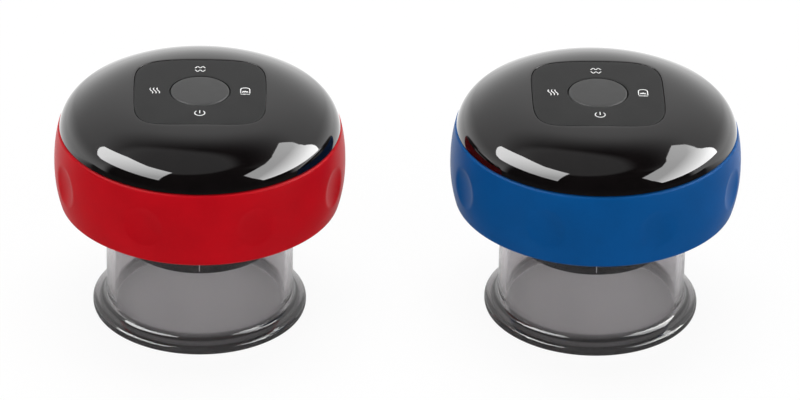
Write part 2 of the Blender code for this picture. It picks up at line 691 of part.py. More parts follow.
def base_plate(device):
    """Black lower housing: a disc in the ring's foot, a bayonet collar, and a hub reaching into the cup."""
    matte = device.material("base", BLACK_MATTE, 0.38)
    radius = HEAD_RADIUS - RING_FOOT_INSET - RING_WALL
    rib_low = HUB_RIB_TOP - HUB_RIB
    profile = [
        (radius, BASE_TOP), (radius, BASE_LOW), (COLLAR_RADIUS, BASE_LOW), (COLLAR_RADIUS, COLLAR_LOW),
        (COLLAR_BORE, COLLAR_LOW), (COLLAR_BORE, BASE_LOW), (HUB_SHOULDER_RADIUS, BASE_LOW),
        (HUB_SHOULDER_RADIUS, BASE_LOW - HUB_SHOULDER), (HUB_RADIUS, BASE_LOW - HUB_SHOULDER),
        (HUB_RADIUS, HUB_RIB_TOP), (HUB_RIB_RADIUS, HUB_RIB_TOP), (HUB_RIB_RADIUS, rib_low),
        (HUB_RADIUS, rib_low), (HUB_RADIUS, HUB_LOW + HUB_CHAMFER), (HUB_RADIUS - HUB_CHAMFER, HUB_LOW),
        (HUB_BORE, HUB_LOW),
        (HUB_BORE, LEDGE_FLOOR), (LEDGE_BORE, LEDGE_FLOOR), (LEDGE_BORE, LEDGE_FLOOR + LEDGE_THICKNESS),
        (HUB_BORE, LEDGE_FLOOR + LEDGE_THICKNESS), (HUB_BORE, BASE_TOP),
    ]
    base = turned(device, device.name + "_base_plate", profile, BASE_SEGMENTS, matte)
    for number in range(LUG_COUNT):
        middle = FRONT_DEG + LUG_STEP_DEG * number
        outline = arc_outline(
            CUP_LUG_RADIUS - LUG_DEPTH + LUG_RUN_GAP, COLLAR_BORE + LUG_SINK,
            middle - LUG_SPAN_DEG / 2, middle + LUG_SPAN_DEG / 2,
        )
        join(base, plate(
            device, f"{device.name}_head_lug_{number}", outline,
            HEAD_LUG_LOW, HEAD_LUG_LOW + LUG_HEIGHT, None,
        ))
    return base


def cup(device):
    """Clear cup: a straight barrel on a wide moulded foot, with three stop-ended lugs round its neck."""
    clear = device.material("cup", SMOKE, 0.05, alpha=0.45)
    outer = [(CUP_RADIUS, CUP_HEIGHT)]
    outer += [
        (CUP_RADIUS + (FOOT_RADIUS - CUP_RADIUS) * out, FOOT_HEIGHT * up) for out, up in FOOT_OUTLINE_shares
    ]
    inner_edge = FOOT_RADIUS - RIM_WIDTH
    inner = [(inner_edge, 0), (CUP_BORE, RIM_ROUND + inner_edge - CUP_BORE), (CUP_BORE, CUP_HEIGHT)]
    body = turned(device, device.name + "_cup", outer + inner, CUP_SEGMENTS, clear)
    for number in range(LUG_COUNT):
        middle = FRONT_DEG + LUG_STEP_DEG * (number + 0.5)
        start = middle - LUG_SPAN_DEG / 2
        lug = plate(
            device, f"{device.name}_cup_lug_{number}",
            arc_outline(CUP_RADIUS - LUG_SINK, CUP_LUG_RADIUS, start, middle + LUG_SPAN_DEG / 2),
            CUP_LUG_LOW, CUP_LUG_LOW + LUG_HEIGHT, None,
        )
        stop = plate(
            device, f"{device.name}_cup_stop_{number}",
            arc_outline(CUP_RADIUS - LUG_SINK, CUP_LUG_RADIUS, start, start + LUG_STOP_DEG),
            HEAD_LUG_LOW, CUP_LUG_LOW + LUG_HEIGHT, None,
        )
        join(body, lug, stop)
    return body


def cup_seal(device):
    """Soft lip ring in the hub's groove, which seals the hub in the cup's bore."""
    soft = device.material("cup_seal", SILICONE, 0.55)
    outer = CUP_BORE - FIT_GAP
    inner = HUB_RADIUS + FIT_GAP
    profile = [
        (outer - SEAL_LIP, SEAL_TOP), (outer, (SEAL_TOP + SEAL_LOW) / 2), (outer - SEAL_LIP, SEAL_LOW),
        (inner, SEAL_LOW), (inner, SEAL_TOP),
    ]
    return turned(device, device.name + "_cup_seal", profile, BASE_SEGMENTS, soft)


def heat_plate(device):
    """Aluminium warming plate in the hub's floor, with a hole for each lamp and for the air way."""
    metal = device.material("heat_plate", ALUMINIUM, 0.30, 1.0)
    top = LEDGE_FLOOR - FIT_GAP
    low = top - HEAT_PLATE_THICKNESS
    disc = rod(
        device, device.name + "_heat_plate", (0, 0, low), (0, 0, top),
        HUB_BORE - FIT_GAP, SMALL_SEGMENTS, metal,
    )
    cut(disc, rod(
        device, device.name + "_air_hole", (0, 0, low - OVERRUN), (0, 0, top + OVERRUN),
        MANIFOLD_RADIUS + FIT_GAP, TINY_SEGMENTS, None,
    ))
    for number, (x, y) in enumerate(ring_of(LAMP_COUNT, LAMP_CIRCLE_RADIUS)):
        cut(disc, rod(
            device, f"{device.name}_lamp_hole_{number}", (x, y, low - OVERRUN), (x, y, top + OVERRUN),
            LAMP_RADIUS + FIT_GAP, LAMP_SEGMENTS, None,
        ))
    return disc


def lamp_board(device):
    """Round board on the hub's ledge whose six lamps shine down through the warming plate."""
    green = device.material("lamp_board", BOARD_GREEN, 0.40)
    low = LEDGE_FLOOR + LEDGE_THICKNESS + FIT_GAP
    top = low + LAMP_BOARD_THICKNESS
    board = rod(
        device, device.name + "_lamp_board", (0, 0, low), (0, 0, top),
        HUB_BORE - FIT_GAP, SMALL_SEGMENTS, green,
    )
    for number, (x, y) in enumerate(ring_of(LAMP_COUNT, LAMP_CIRCLE_RADIUS)):
        join(board, rod(
            device, f"{device.name}_lamp_{number}", (x, y, low - LAMP_LENGTH), (x, y, low + SINK),
            LAMP_RADIUS, LAMP_SEGMENTS, None,
        ))
    return cut(board, rod(
        device, device.name + "_lamp_board_hole", (0, 0, low - OVERRUN), (0, 0, top + OVERRUN),
        MANIFOLD_RADIUS + FIT_GAP, TINY_SEGMENTS, None,
    ))


def air_manifold(device):
    """Upright air pipe from the hub's floor to the hose, with a side branch to the release valve."""
    nylon = device.material("manifold", NYLON, 0.45)
    pipe = rod(
        device, device.name + "_air_manifold", (0, 0, MANIFOLD_LOW), (0, 0, MANIFOLD_TOP),
        MANIFOLD_RADIUS, TINY_SEGMENTS, nylon,
    )
    reach = VALVE_PLACE - VALVE_RADIUS - FIT_GAP
    branch = rod(
        device, device.name + "_branch", (0, 0, BRANCH_HEIGHT), (reach, 0, BRANCH_HEIGHT), BRANCH_RADIUS,
        TINY_SEGMENTS, None,
    )
    bore = rod(
        device, device.name + "_air_bore", (0, 0, MANIFOLD_LOW - OVERRUN), (0, 0, MANIFOLD_TOP + OVERRUN),
        MANIFOLD_BORE_RADIUS, TINY_SEGMENTS, None,
    )
    mouth = rod(
        device, device.name + "_filter_seat", (0, 0, MANIFOLD_LOW - OVERRUN),
        (0, 0, MANIFOLD_LOW + FILTER_LENGTH + FIT_GAP), FILTER_RADIUS + FIT_GAP, TINY_SEGMENTS, None,
    )
    return cut(join(pipe, branch), bore, mouth)


def filter_plug(device):
    """Small foam plug that keeps skin oil out of the air way."""
    foam = device.material("filter", SILICONE, 0.90)
    return rod(
        device, device.name + "_filter_plug", (0, 0, MANIFOLD_LOW), (0, 0, MANIFOLD_LOW + FILTER_LENGTH),
        FILTER_RADIUS, TINY_SEGMENTS, foam,
    )


def chassis(device):
    """Inner tray on the base plate, with saddles for the cell and the motor."""
    matte = device.material("chassis", BLACK_MATTE, 0.55)
    tray = rod(
        device, device.name + "_chassis", (0, 0, CHASSIS_LOW), (0, 0, CHASSIS_TOP), CHASSIS_RADIUS,
        BASE_SEGMENTS, matte,
    )
    cell_side = CELL_RADIUS * SADDLE_SIDE_share
    motor_side = MOTOR_RADIUS * SADDLE_SIDE_share
    motor_middle = MOTOR_FACE_PLACE + MOTOR_LENGTH / 2
    cell_place = CELL_LENGTH / 2 * CELL_SADDLE_PLACE_share
    saddles = (
        ("left", -cell_place, CELL_OFFSET, cell_side),
        ("right", cell_place, CELL_OFFSET, cell_side),
        ("motor", motor_middle, -PUMP_OFFSET, motor_side),
    )
    for name, x, y, side in saddles:
        join(tray, box(
            device, f"{device.name}_saddle_{name}", (x - SADDLE_THICKNESS / 2, y - side, CHASSIS_TOP - SINK),
            (x + SADDLE_THICKNESS / 2, y + side, CHASSIS_TOP + SADDLE_HEIGHT), None,
        ))
    cell_room = rod(
        device, device.name + "_cell_room", (-CELL_LENGTH / 2, CELL_OFFSET, CELL_AXIS),
        (CELL_LENGTH / 2, CELL_OFFSET, CELL_AXIS), CELL_RADIUS + FIT_GAP, SMALL_SEGMENTS, None,
    )
    motor_room = rod(
        device, device.name + "_motor_room", on_pump_axis(MOTOR_FACE_PLACE),
        on_pump_axis(MOTOR_FACE_PLACE + MOTOR_LENGTH), MOTOR_RADIUS + FIT_GAP, SMALL_SEGMENTS, None,
    )
    pipe_hole = rod(
        device, device.name + "_pipe_hole", (0, 0, CHASSIS_LOW - OVERRUN), (0, 0, CHASSIS_TOP + OVERRUN),
        CHASSIS_HOLE_RADIUS, SMALL_SEGMENTS, None,
    )
    return cut(tray, cell_room, motor_room, pipe_hole)


def battery_cell(device):
    """Round lithium cell, lying across the back half of the head."""
    wrap = device.material("cell", CELL_BLUE, 0.35)
    body = CELL_LENGTH - CELL_TIP
    profile = [
        (0, CELL_LENGTH), (CELL_TIP_RADIUS, CELL_LENGTH), (CELL_TIP_RADIUS, body), (CELL_RADIUS, body),
        (CELL_RADIUS, 0), (0, 0),
    ]
    cell = turned(
        device, device.name + "_battery_cell", profile, SMALL_SEGMENTS, wrap, closed=False,
        location=(-CELL_LENGTH / 2, CELL_OFFSET, CELL_AXIS),
    )
    cell.rotation_euler = (0, math.pi / 2, 0)
    return cell


def on_pump_axis(place):
    """A point on the pump's axis."""
    return (place, -PUMP_OFFSET, PUMP_AXIS)


def pump_block(device, name, start, end, material):
    """A square block with round corners, lying on the pump's axis."""
    outline = soft_square(PUMP_BLOCK_WIDTH, PUMP_BLOCK_WIDTH, PUMP_BLOCK_SQUARENESS, 2 * TINY_SEGMENTS)
    block = plate(device, name, outline, end, start, material)
    block.location = on_pump_axis((start + end) / 2)
    block.rotation_euler = (0, math.pi / 2, 0)
    return block


def pump_motor(device):
    """Motor can with a rear boss and a blind bearing bore in its front."""
    steel = device.material("motor", STEEL, 0.35, 1.0)
    rear = MOTOR_FACE_PLACE + MOTOR_LENGTH
    can = rod(
        device, device.name + "_pump_motor", on_pump_axis(MOTOR_FACE_PLACE), on_pump_axis(rear), MOTOR_RADIUS,
        SMALL_SEGMENTS, steel,
    )
    boss = rod(
        device, device.name + "_motor_boss", on_pump_axis(rear - SINK), on_pump_axis(rear + MOTOR_BOSS),
        MOTOR_BOSS_RADIUS, TINY_SEGMENTS, None,
    )
    bore = rod(
        device, device.name + "_shaft_bore", on_pump_axis(MOTOR_FACE_PLACE - OVERRUN),
        on_pump_axis(MOTOR_FACE_PLACE + SHAFT_BORE_DEPTH), SHAFT_RADIUS + FIT_GAP, TINY_SEGMENTS, None,
    )
    return cut(join(can, boss), bore)


def pump_rotor(device):
    """Shaft with its eccentric and crank pin, which drives the diaphragm."""
    steel = device.material("rotor", STEEL, 0.28, 1.0)
    inner_end = MOTOR_FACE_PLACE + SHAFT_REACH
    near = MOTOR_FACE_PLACE - ECCENTRIC_LEAD
    far = near - ECCENTRIC_LENGTH
    shaft = rod(
        device, device.name + "_pump_rotor", on_pump_axis(inner_end), on_pump_axis((near + far) / 2),
        SHAFT_RADIUS, TINY_SEGMENTS, steel,
    )
    off = ECCENTRIC_OFFSET
    disc = rod(
        device, device.name + "_eccentric", (near, -PUMP_OFFSET, PUMP_AXIS + off),
        (far, -PUMP_OFFSET, PUMP_AXIS + off), ECCENTRIC_RADIUS, TINY_SEGMENTS, None,
    )
    pin_height = PUMP_AXIS + CRANK_PIN_OFFSET
    pin = rod(
        device, device.name + "_crank_pin", (far + SINK, -PUMP_OFFSET, pin_height),
        (far - CRANK_PIN_LENGTH, -PUMP_OFFSET, pin_height), CRANK_PIN_RADIUS, TINY_SEGMENTS, None,
    )
    return join(shaft, disc, pin)


def pump_head(device):
    """Pump housing, open towards the motor, round the turning eccentric."""
    nylon = device.material("pump_head", NYLON, 0.45)
    block = pump_block(device, device.name + "_pump_head", BLOCK_START, BLOCK_END, nylon)
    cavity = rod(
        device, device.name + "_pump_cavity", on_pump_axis(BLOCK_START + OVERRUN),
        on_pump_axis(BLOCK_START - PUMP_CAVITY_DEPTH), PUMP_CAVITY_RADIUS, SMALL_SEGMENTS, None,
    )
    return cut(block, cavity)


def pump_diaphragm(device):
    """Rubber diaphragm between the pump's housing and its cap."""
    rubber = device.material("diaphragm", BLACK_MATTE, 0.70)
    return rod(
        device, device.name + "_pump_diaphragm", on_pump_axis(DIAPHRAGM_START), on_pump_axis(DIAPHRAGM_END),
        DIAPHRAGM_RADIUS, SMALL_SEGMENTS, rubber, tip_radius=DIAPHRAGM_RADIUS - DIAPHRAGM_CROWN,
    )


def pump_cap(device):
    """Pump end cap with the nipple that the hose slips on."""
    matte = device.material("pump_cap", BLACK_MATTE, 0.50)
    block = pump_block(device, device.name + "_pump_cap", CAP_START, CAP_END, matte)
    nipple = rod(
        device, device.name + "_nipple", (NIPPLE_PLACE, NIPPLE_TIP - NIPPLE_LENGTH - OVERRUN, PUMP_AXIS),
        (NIPPLE_PLACE, NIPPLE_TIP, PUMP_AXIS), NIPPLE_RADIUS, TINY_SEGMENTS, None,
    )
    return join(block, nipple)


def air_hose(device):
    """Silicone hose that bends from the manifold's top over to the pump's nipple."""
    clear = device.material("hose", SILICONE, 0.40)
    start = Vector((0, 0, MANIFOLD_TOP + FIT_GAP))
    end = Vector((NIPPLE_PLACE, NIPPLE_TIP + FIT_GAP, PUMP_AXIS))
    curve = bpy.data.curves.new(device.name + "_air_hose", "CURVE")
    curve.dimensions = "3D"
    curve.bevel_depth = HOSE_RADIUS
    curve.bevel_resolution = 2
    curve.resolution_u = TINY_SEGMENTS
    curve.use_fill_caps = True
    line = curve.splines.new("BEZIER")
    line.bezier_points.add(1)
    up = Vector((0, 0, HOSE_BEND))
    out = Vector((0, HOSE_BEND, 0))
    for knot, place, before, after in ((0, start, -up, up), (1, end, out, -out)):
        point = line.bezier_points[knot]
        point.handle_left_type = "FREE"
        point.handle_right_type = "FREE"
        point.co = place
        point.handle_left = place + before
        point.handle_right = place + after
    return device.place(meshed(curve, device.name + "_air_hose"), (0, 0, 0), clear)


def release_valve(device):
    """Small solenoid valve body with a bore for its plunger."""
    steel = device.material("valve", STEEL, 0.40, 1.0)
    body = rod(
        device, device.name + "_release_valve", (VALVE_PLACE, 0, VALVE_LOW), (VALVE_PLACE, 0, VALVE_TOP),
        VALVE_RADIUS, SMALL_SEGMENTS, steel,
    )
    return cut(body, rod(
        device, device.name + "_valve_bore", (VALVE_PLACE, 0, VALVE_TOP - VALVE_BORE_DEPTH),
        (VALVE_PLACE, 0, VALVE_TOP + OVERRUN), PLUNGER_RADIUS + FIT_GAP, TINY_SEGMENTS, None,
    ))


def valve_plunger(device):
    """Sprung plunger that the valve pulls down to let air back into the cup."""
    steel = device.material("plunger", STEEL, 0.30, 1.0)
    neck_top = VALVE_TOP + VALVE_TRAVEL + FIT_GAP
    profile = [
        (0, neck_top + PLUNGER_HEAD), (PLUNGER_HEAD_RADIUS, neck_top + PLUNGER_HEAD),
        (PLUNGER_HEAD_RADIUS, neck_top), (PLUNGER_RADIUS, neck_top),
        (PLUNGER_RADIUS, VALVE_TOP - PLUNGER_ENGAGED), (0, VALVE_TOP - PLUNGER_ENGAGED),
    ]
    return turned(
        device, device.name + "_valve_plunger", profile, TINY_SEGMENTS, steel, closed=False,
        location=(VALVE_PLACE, 0, 0),
    )


def port_back():
    """Where the charging port's closed end lies, counted from the ring's back wall."""
    return HEAD_RADIUS - PORT_INSET - PORT_LENGTH


def port_height():
    """Height of the charging port's middle."""
    return CHASSIS_TOP + FIT_GAP + CHARGE_BOARD_THICKNESS + FIT_GAP + PORT_HEIGHT / 2


def charge_board(device):
    """Power board on the tray, behind the cell, under the charging port."""
    green = device.material("charge_board", BOARD_GREEN, 0.40)
    low = CHASSIS_TOP + FIT_GAP
    back = math.sqrt((HEAD_RADIUS - RING_WALL - FIT_GAP) ** 2 - (CHARGE_BOARD_WIDTH / 2) ** 2)
    return box(
        device, device.name + "_charge_board", (-CHARGE_BOARD_WIDTH / 2, back - CHARGE_BOARD_DEPTH, low),
        (CHARGE_BOARD_WIDTH / 2, back, low + CHARGE_BOARD_THICKNESS), green,
    )


def usb_port(device):
    """Steel charging socket with its tongue, open through the ring's back wall."""
    steel = device.material("port", STEEL, 0.30, 1.0)
    outline = round_slot(PORT_WIDTH, PORT_HEIGHT)
    shell = plate(device, device.name + "_usb_port", outline, 0, PORT_LENGTH, steel)
    inner_outline = round_slot(PORT_WIDTH - 2 * PORT_WALL, PORT_HEIGHT - 2 * PORT_WALL)
    room_end = PORT_LENGTH + OVERRUN
    room = plate(
        device, device.name + "_port_room", inner_outline, PORT_LENGTH - PORT_CAVITY, room_end, None,
    )
    back = port_back()
    for piece, start, end in ((shell, 0, PORT_LENGTH), (room, PORT_LENGTH - PORT_CAVITY, room_end)):
        piece.location = (0, back + (start + end) / 2, port_height())
        piece.rotation_euler = (-math.pi / 2, 0, 0)
    floor = back + PORT_LENGTH - PORT_CAVITY
    tongue = box(
        device, device.name + "_port_tongue",
        (-TONGUE_WIDTH / 2, floor - SINK, port_height() - TONGUE_THICKNESS / 2),
        (TONGUE_WIDTH / 2, floor + TONGUE_LENGTH, port_height() + TONGUE_THICKNESS / 2), None,
    )
    return join(cut(shell, room), tongue)


def build_device(device):
    """Every piece of one device, from the cup up."""
    for piece in (
        cup, cup_seal, base_plate, heat_plate, lamp_board, filter_plug, air_manifold, air_hose, chassis,
        battery_cell, pump_motor, pump_rotor, pump_head, pump_diaphragm, pump_cap, release_valve,
        valve_plunger, charge_board, usb_port, key_board, key_pins, grip_ring, dome_cover, key_pad,
        centre_button,
    ):
        piece(device)


def main():
    for old in list(bpy.data.objects):
        bpy.data.objects.remove(old, do_unlink=True)
    parts = bpy.data.collections.new("massage_cup_set")
    cutters = bpy.data.collections.new("cutters")
    for collection in (parts, cutters):
        bpy.context.scene.collection.children.link(collection)
    build_device(Device("red", -UNIT_SPACING / 2, RED, parts, cutters))
    build_device(Device("blue", UNIT_SPACING / 2, BLUE, parts, cutters))
    bpy.context.view_layer.update()


main()
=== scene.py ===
"""Massage cup set: the looks of two electric cupping devices, one red and one blue, on their clear cups.

The packed model is the frame. Fine pieces stand for the nodes that show from outside, and the nodes inside
the heads keep their shape and get their finishes here. Metres, +Z up, the front of each device faces -Y.
"""
import json
import math

import bmesh
import bpy
from bpy.props import FloatProperty, FloatVectorProperty, PointerProperty
from mathutils import Matrix, Vector


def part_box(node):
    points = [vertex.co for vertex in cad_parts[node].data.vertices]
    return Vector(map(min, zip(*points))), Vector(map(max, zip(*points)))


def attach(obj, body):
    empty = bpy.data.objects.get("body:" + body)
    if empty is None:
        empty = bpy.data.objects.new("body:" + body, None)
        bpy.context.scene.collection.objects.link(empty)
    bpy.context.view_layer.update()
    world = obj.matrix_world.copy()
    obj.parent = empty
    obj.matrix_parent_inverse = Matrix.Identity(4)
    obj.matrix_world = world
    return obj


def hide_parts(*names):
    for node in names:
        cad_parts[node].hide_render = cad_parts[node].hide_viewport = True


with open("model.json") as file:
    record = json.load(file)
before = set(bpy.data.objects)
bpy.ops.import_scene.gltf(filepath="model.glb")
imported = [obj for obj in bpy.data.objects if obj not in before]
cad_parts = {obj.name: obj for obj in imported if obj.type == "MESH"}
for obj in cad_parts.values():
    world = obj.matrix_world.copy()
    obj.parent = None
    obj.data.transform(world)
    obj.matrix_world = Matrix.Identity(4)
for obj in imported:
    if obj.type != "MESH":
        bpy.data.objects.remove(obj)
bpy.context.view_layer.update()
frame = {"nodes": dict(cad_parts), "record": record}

bl_info = {
    "name": "Massage cup set",
    "version": (1, 0, 0),
    "blender": (4, 5, 0),
    "location": "View3D > Sidebar > Cup set",
    "description": "Builds the looks of a pair of electric cupping devices on their packed frame",
    "category": "Object",
}

SIDES = ("red", "blue")
RECORD_SLOTS = {part["node"]: part["material_slot"] for part in frame["record"]["subparts"]}
WHITE = (1.0, 1.0, 1.0, 1.0)

# Sizes that come from the packed nodes
RING_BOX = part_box("red_grip_ring")
PAD_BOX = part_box("red_key_pad")
BUTTON_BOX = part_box("red_centre_button")
BASE_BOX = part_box("red_base_plate")
CUP_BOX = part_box("red_cup")
HEAD_RADIUS = (RING_BOX[1].x - RING_BOX[0].x) / 2
RING_FOOT = RING_BOX[0].z
RING_TOP = RING_BOX[1].z
PAD_LOW = PAD_BOX[0].z
CUP_HEIGHT = CUP_BOX[1].z
FOOT_RADIUS = (CUP_BOX[1].x - CUP_BOX[0].x) / 2
HUB_LOW = BASE_BOX[0].z
BASE_TOP = BASE_BOX[1].z

# Points round a loop, and rows up the grip ring
RING_STEPS = 420
RING_LEVELS = 52
ROUND_STEPS = 240
SQUARE_STEPS = 288
BUTTON_STEPS = 160
PLATE_STEPS = 120
SCREW_STEPS = 40
HOLE_STEPS = 32

# Angles between two faces from which their edge stays hard
CREASE_DEG = 34.0
GRIP_CREASE_DEG = 40.0

# Fits and curves that the packed pieces share, in metres and degrees
GAP = 0.0003
WAIST_SHARE = 0.52
BARREL_POWER = 2.2
CROWN_POWER = 4.3
SHOULDER_START = 9.0
SHOULDER_END = 60.0
SQUARE_POWER = 4.5

# Grip ring, dome, pad and button
SLOT_DEPTH = 0.004
SLOT_PAST = 0.002
BASE_LOW = RING_FOOT + 0.0015
LEDGE_REACH = 0.0024
LEDGE_THICK = 0.0016
DOME_SEAT = 0.0034
SPIGOT_WALL = 0.0014
STEM_HOLE = 0.0029
PIN_HOLE = 0.0015
CUT_PAST = 0.001
HOLE_EDGE = 0.00025
SKIRT_LIFT = 0.0006
STEM_RADIUS = 0.0026
TIP_RADIUS = 0.0012
TIP_LENGTH = 0.0015
INK_LIFT = 0.000005

# Bayonet: lugs and stops on the cup's neck, lugs in the housing's collar
NECK_ROUND = 0.0004
NECK_BAND = 0.0012
LUG_DROP = 0.0014
LUG_HEIGHT = 0.0022
LUG_REACH = 0.0013
LUG_ROOT = 0.0007
LUG_PLAY = 0.0004
LUG_HALF_DEG = 20
STOP_DEG = 5
STOP_OVERLAP = 0.0001
CUP_LUG_LOW = CUP_HEIGHT - LUG_DROP - LUG_HEIGHT
HEAD_LUG_LOW = CUP_LUG_LOW - LUG_PLAY - LUG_HEIGHT

# Hub, seal, warming plate, screws and index mark
COLLAR_WALL = 0.0023
HUB_SHOULDER = 0.0014
HUB_WALL = 0.0020
RIB_REACH = 0.0017
RIB_THICK = 0.0010
SEAL_HEIGHT = 0.0029
SEAL_LIP = 0.0006
SHELF_RISE = 0.0018
SHELF_REACH = 0.0041
SHELF_THICK = 0.0016
PLATE_EDGE = 0.0002
AIR_HOLE = 0.0029
LAMP_HOLE = 0.0017
LAMP_INSET = 0.0030
SCREW_RING = 0.0376
SCREW_ANGLES = (-30, 90, 210)
SCREW_HEAD = 0.0016
SCREW_TALL = 0.0009
SCREW_SINK = 0.0002
CROSS_LONG = 0.00190
CROSS_WIDE = 0.00042
CROSS_DEEP = 0.0011
MARK_SPAN = (0.0010, 0.0085)
MARK_SINK = 0.0001
MARK_PROUD = 0.00006

# The foot's outline: shares of its flare outwards and of its height upwards
FOOT_LINE = (
    (0.00, 1.04), (0.05, 0.90), (0.13, 0.80), (0.26, 0.72), (0.42, 0.67), (0.60, 0.61),
    (0.78, 0.54), (0.93, 0.47), (1.00, 0.36), (1.00, 0.14), (0.88, 0.00),
)

# The suction symbol's lines, in units of its width
ARCH_HALF = ((-0.39, -0.40), (-0.39, -0.10), (-0.39, 0.16), (-0.36, 0.36), (-0.22, 0.50), (0.0, 0.54))
ARCH_TEETH = (
    (-0.24, -0.27), (-0.16, -0.06), (-0.08, -0.24), (0.0, 0.0), (0.08, -0.24), (0.16, -0.06), (0.24, -0.27),
)

# Where each key lies from the button: rightwards and backwards
KEY_SIDES = {"suction": (1, 0), "mode": (0, 1), "heat": (-1, 0), "power": (0, -1)}


def length(name, description, default):
    """A size in metres for the sidebar."""
    return FloatProperty(
        name=name, description=description, default=default, unit="LENGTH", precision=5, min=0.0,
    )


def strength(name, description, default, unit="NONE"):
    """A power or a brightness for the sidebar."""
    return FloatProperty(name=name, description=description, default=default, unit=unit, min=0.0)


def colour(name, description, default):
    """A colour for the sidebar."""
    return FloatVectorProperty(
        name=name, description=description, default=default, subtype="COLOR", size=3, min=0.0, max=1.0,
    )


class GripSizes(bpy.types.PropertyGroup):
    """Sizes of the coloured grip ring."""

    wall: length("Wall", "Thickness of the ring's wall", 0.0030)
    top_inset: length("Top inset", "How far the ring draws in at its top", 0.0014)
    foot_inset: length("Foot inset", "How far the ring draws in at its foot", 0.0018)
    edge_round: length("Edge round", "Radius of the ring's two outer edges", 0.0005)
    dimple_width: length("Dimple width", "Width of a finger dimple", 0.0127)
    dimple_height: length("Dimple height", "Height of a finger dimple", 0.0155)
    dimple_depth: length("Dimple depth", "Depth of a finger dimple", 0.0012)
    dimple_ball: length("Dimple ball", "Depth radius of the ball that forms a dimple", 0.0030)
    dimple_lip: length("Dimple lip", "How softly a dimple runs into the barrel", 0.00012)


class DomeSizes(bpy.types.PropertyGroup):
    """Sizes of the glossy dome."""

    shoulder: length("Shoulder", "Radius of the dome's rounded shoulder", 0.0097)
    crown_rise: length("Crown rise", "How far the crown rises over the shoulder", 0.0053)
    wall: length("Wall", "Thickness of the dome's wall", 0.0022)
    spigot: length("Spigot", "Depth of the spigot inside the ring", 0.0030)
    edge_round: length("Edge round", "Radius of the pad recess's edge", 0.00014)


class PadSizes(bpy.types.PropertyGroup):
    """Sizes of the key pad, its button and its printed symbols."""

    width: length("Pad width", "Width of the square pad", 0.0414)
    edge_round: length("Pad edge", "Radius of the pad's outer edge", 0.00025)
    seat_gap: length("Seat gap", "Gap between the pad and its recess", 0.00020)
    button_radius: length("Button radius", "Radius of the centre button", 0.0093)
    button_edge: length("Button edge", "Radius of the button's edge", 0.0007)
    key_place: length("Key place", "Distance of each key from the button's middle", 0.0146)
    symbol_place: length("Symbol place", "Distance of each symbol from the button's middle", 0.0142)
    symbol_width: length("Symbol width", "Width of a printed symbol", 0.0037)
    line_width: length("Line width", "Width of a printed line", 0.00029)
    ink: length("Ink", "Thickness of the printed ink", 0.00004)


class CupSizes(bpy.types.PropertyGroup):
    """Sizes of the clear cup and of the hub inside it."""

    wall: length("Wall", "Thickness of the cup's wall", 0.0025)
    foot_flare: length("Foot flare", "How far the foot stands out from the wall", 0.0043)
    foot_height: length("Foot height", "Height of the moulded foot", 0.0050)
    rim_width: length("Rim width", "Width of the rim that rests on the skin", 0.0056)
    hub_radius: length("Hub radius", "Radius of the hub inside the cup", 0.0236)
    mark_width: length("Mark width", "Width of the white index mark", 0.00024)


class Finishes(bpy.types.PropertyGroup):
    """Colours of the finishes, as linear values."""

    red: colour("Red grip", "Colour of the red grip ring", (0.47, 0.0020, 0.0078))
    blue: colour("Blue grip", "Colour of the blue grip ring", (0.0011, 0.073, 0.258))
    dome: colour("Dome", "Colour of the glossy dome", (0.0028, 0.0021, 0.0022))
    pad: colour("Key pad", "Colour of the key pad", (0.025, 0.025, 0.025))
    button: colour("Button", "Colour of the centre button", (0.044, 0.044, 0.044))
    housing: colour("Housing", "Colour of the lower housing", (0.0045, 0.0045, 0.0048))
    smoke: colour("Smoke", "Tint of the clear cup", (0.64, 0.62, 0.63))
    ink: colour("Ink", "Colour of the printed symbols", (0.86, 0.86, 0.86))


class StudioSettings(bpy.types.PropertyGroup):
    """Lamps, floor and camera."""

    top_power: strength("Top power", "Power of the overhead lamp", 21.0, "POWER")
    side_power: strength("Side power", "Power of a side lamp, before its own share", 11.0, "POWER")
    left_panel: strength("Left panel", "Brightness of the panel mirrored on the left", 9.5)
    right_panel: strength("Right panel", "Brightness of the panel mirrored on the right", 9.0)
    floor_colour: colour("Floor", "Colour of the floor", (0.86, 0.86, 0.86))
    distance: length("Camera distance", "Distance of the camera from its target", 2.0)


# Mesh helpers

def axis_of(side):
    """Where a device's axis stands along X."""
    low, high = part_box(side + "_cup")
    return (low.x + high.x) / 2


def even(count):
    """Shares from 0 to 1 in even steps."""
    return [step / count for step in range(count + 1)]


def faced(mesh, capped=False):
    """Turns the faces outwards, and first fills the open ends if asked."""
    shape = bmesh.new()
    shape.from_mesh(mesh)
    if capped:
        bmesh.ops.holes_fill(shape, edges=[edge for edge in shape.edges if edge.is_boundary], sides=0)
    bmesh.ops.recalc_face_normals(shape, faces=shape.faces)
    shape.to_mesh(mesh)
    shape.free()
    return mesh


def skin(name, rows, closed=False, capped=False):
    """One mesh over rows of points; a row is a loop, or a single point where the skin comes to a pole."""
    points, faces, starts = [], [], []
    for row in rows:
        starts.append((len(points), len(row)))
        points.extend(row)
    pairs = list(zip(starts, starts[1:]))
    if closed:
        pairs.append((starts[-1], starts[0]))
    for (first, first_count), (second, second_count) in pairs:
        for step in range(max(first_count, second_count)):
            corners = (
                first + step % first_count, second + step % second_count,
                second + (step + 1) % second_count, first + (step + 1) % first_count,
            )
            face = list(dict.fromkeys(corners))
            if len(face) > 2:
                faces.append(face)
    mesh = bpy.data.meshes.new(name)
    mesh.from_pydata(points, [], faces)
    return faced(mesh, capped)


def polar(radius, angle, height=0.0, middle=(0.0, 0.0)):
    """The point at a radius, an angle and a height about an upright line."""
    return (middle[0] + radius * math.cos(angle), middle[1] + radius * math.sin(angle), height)


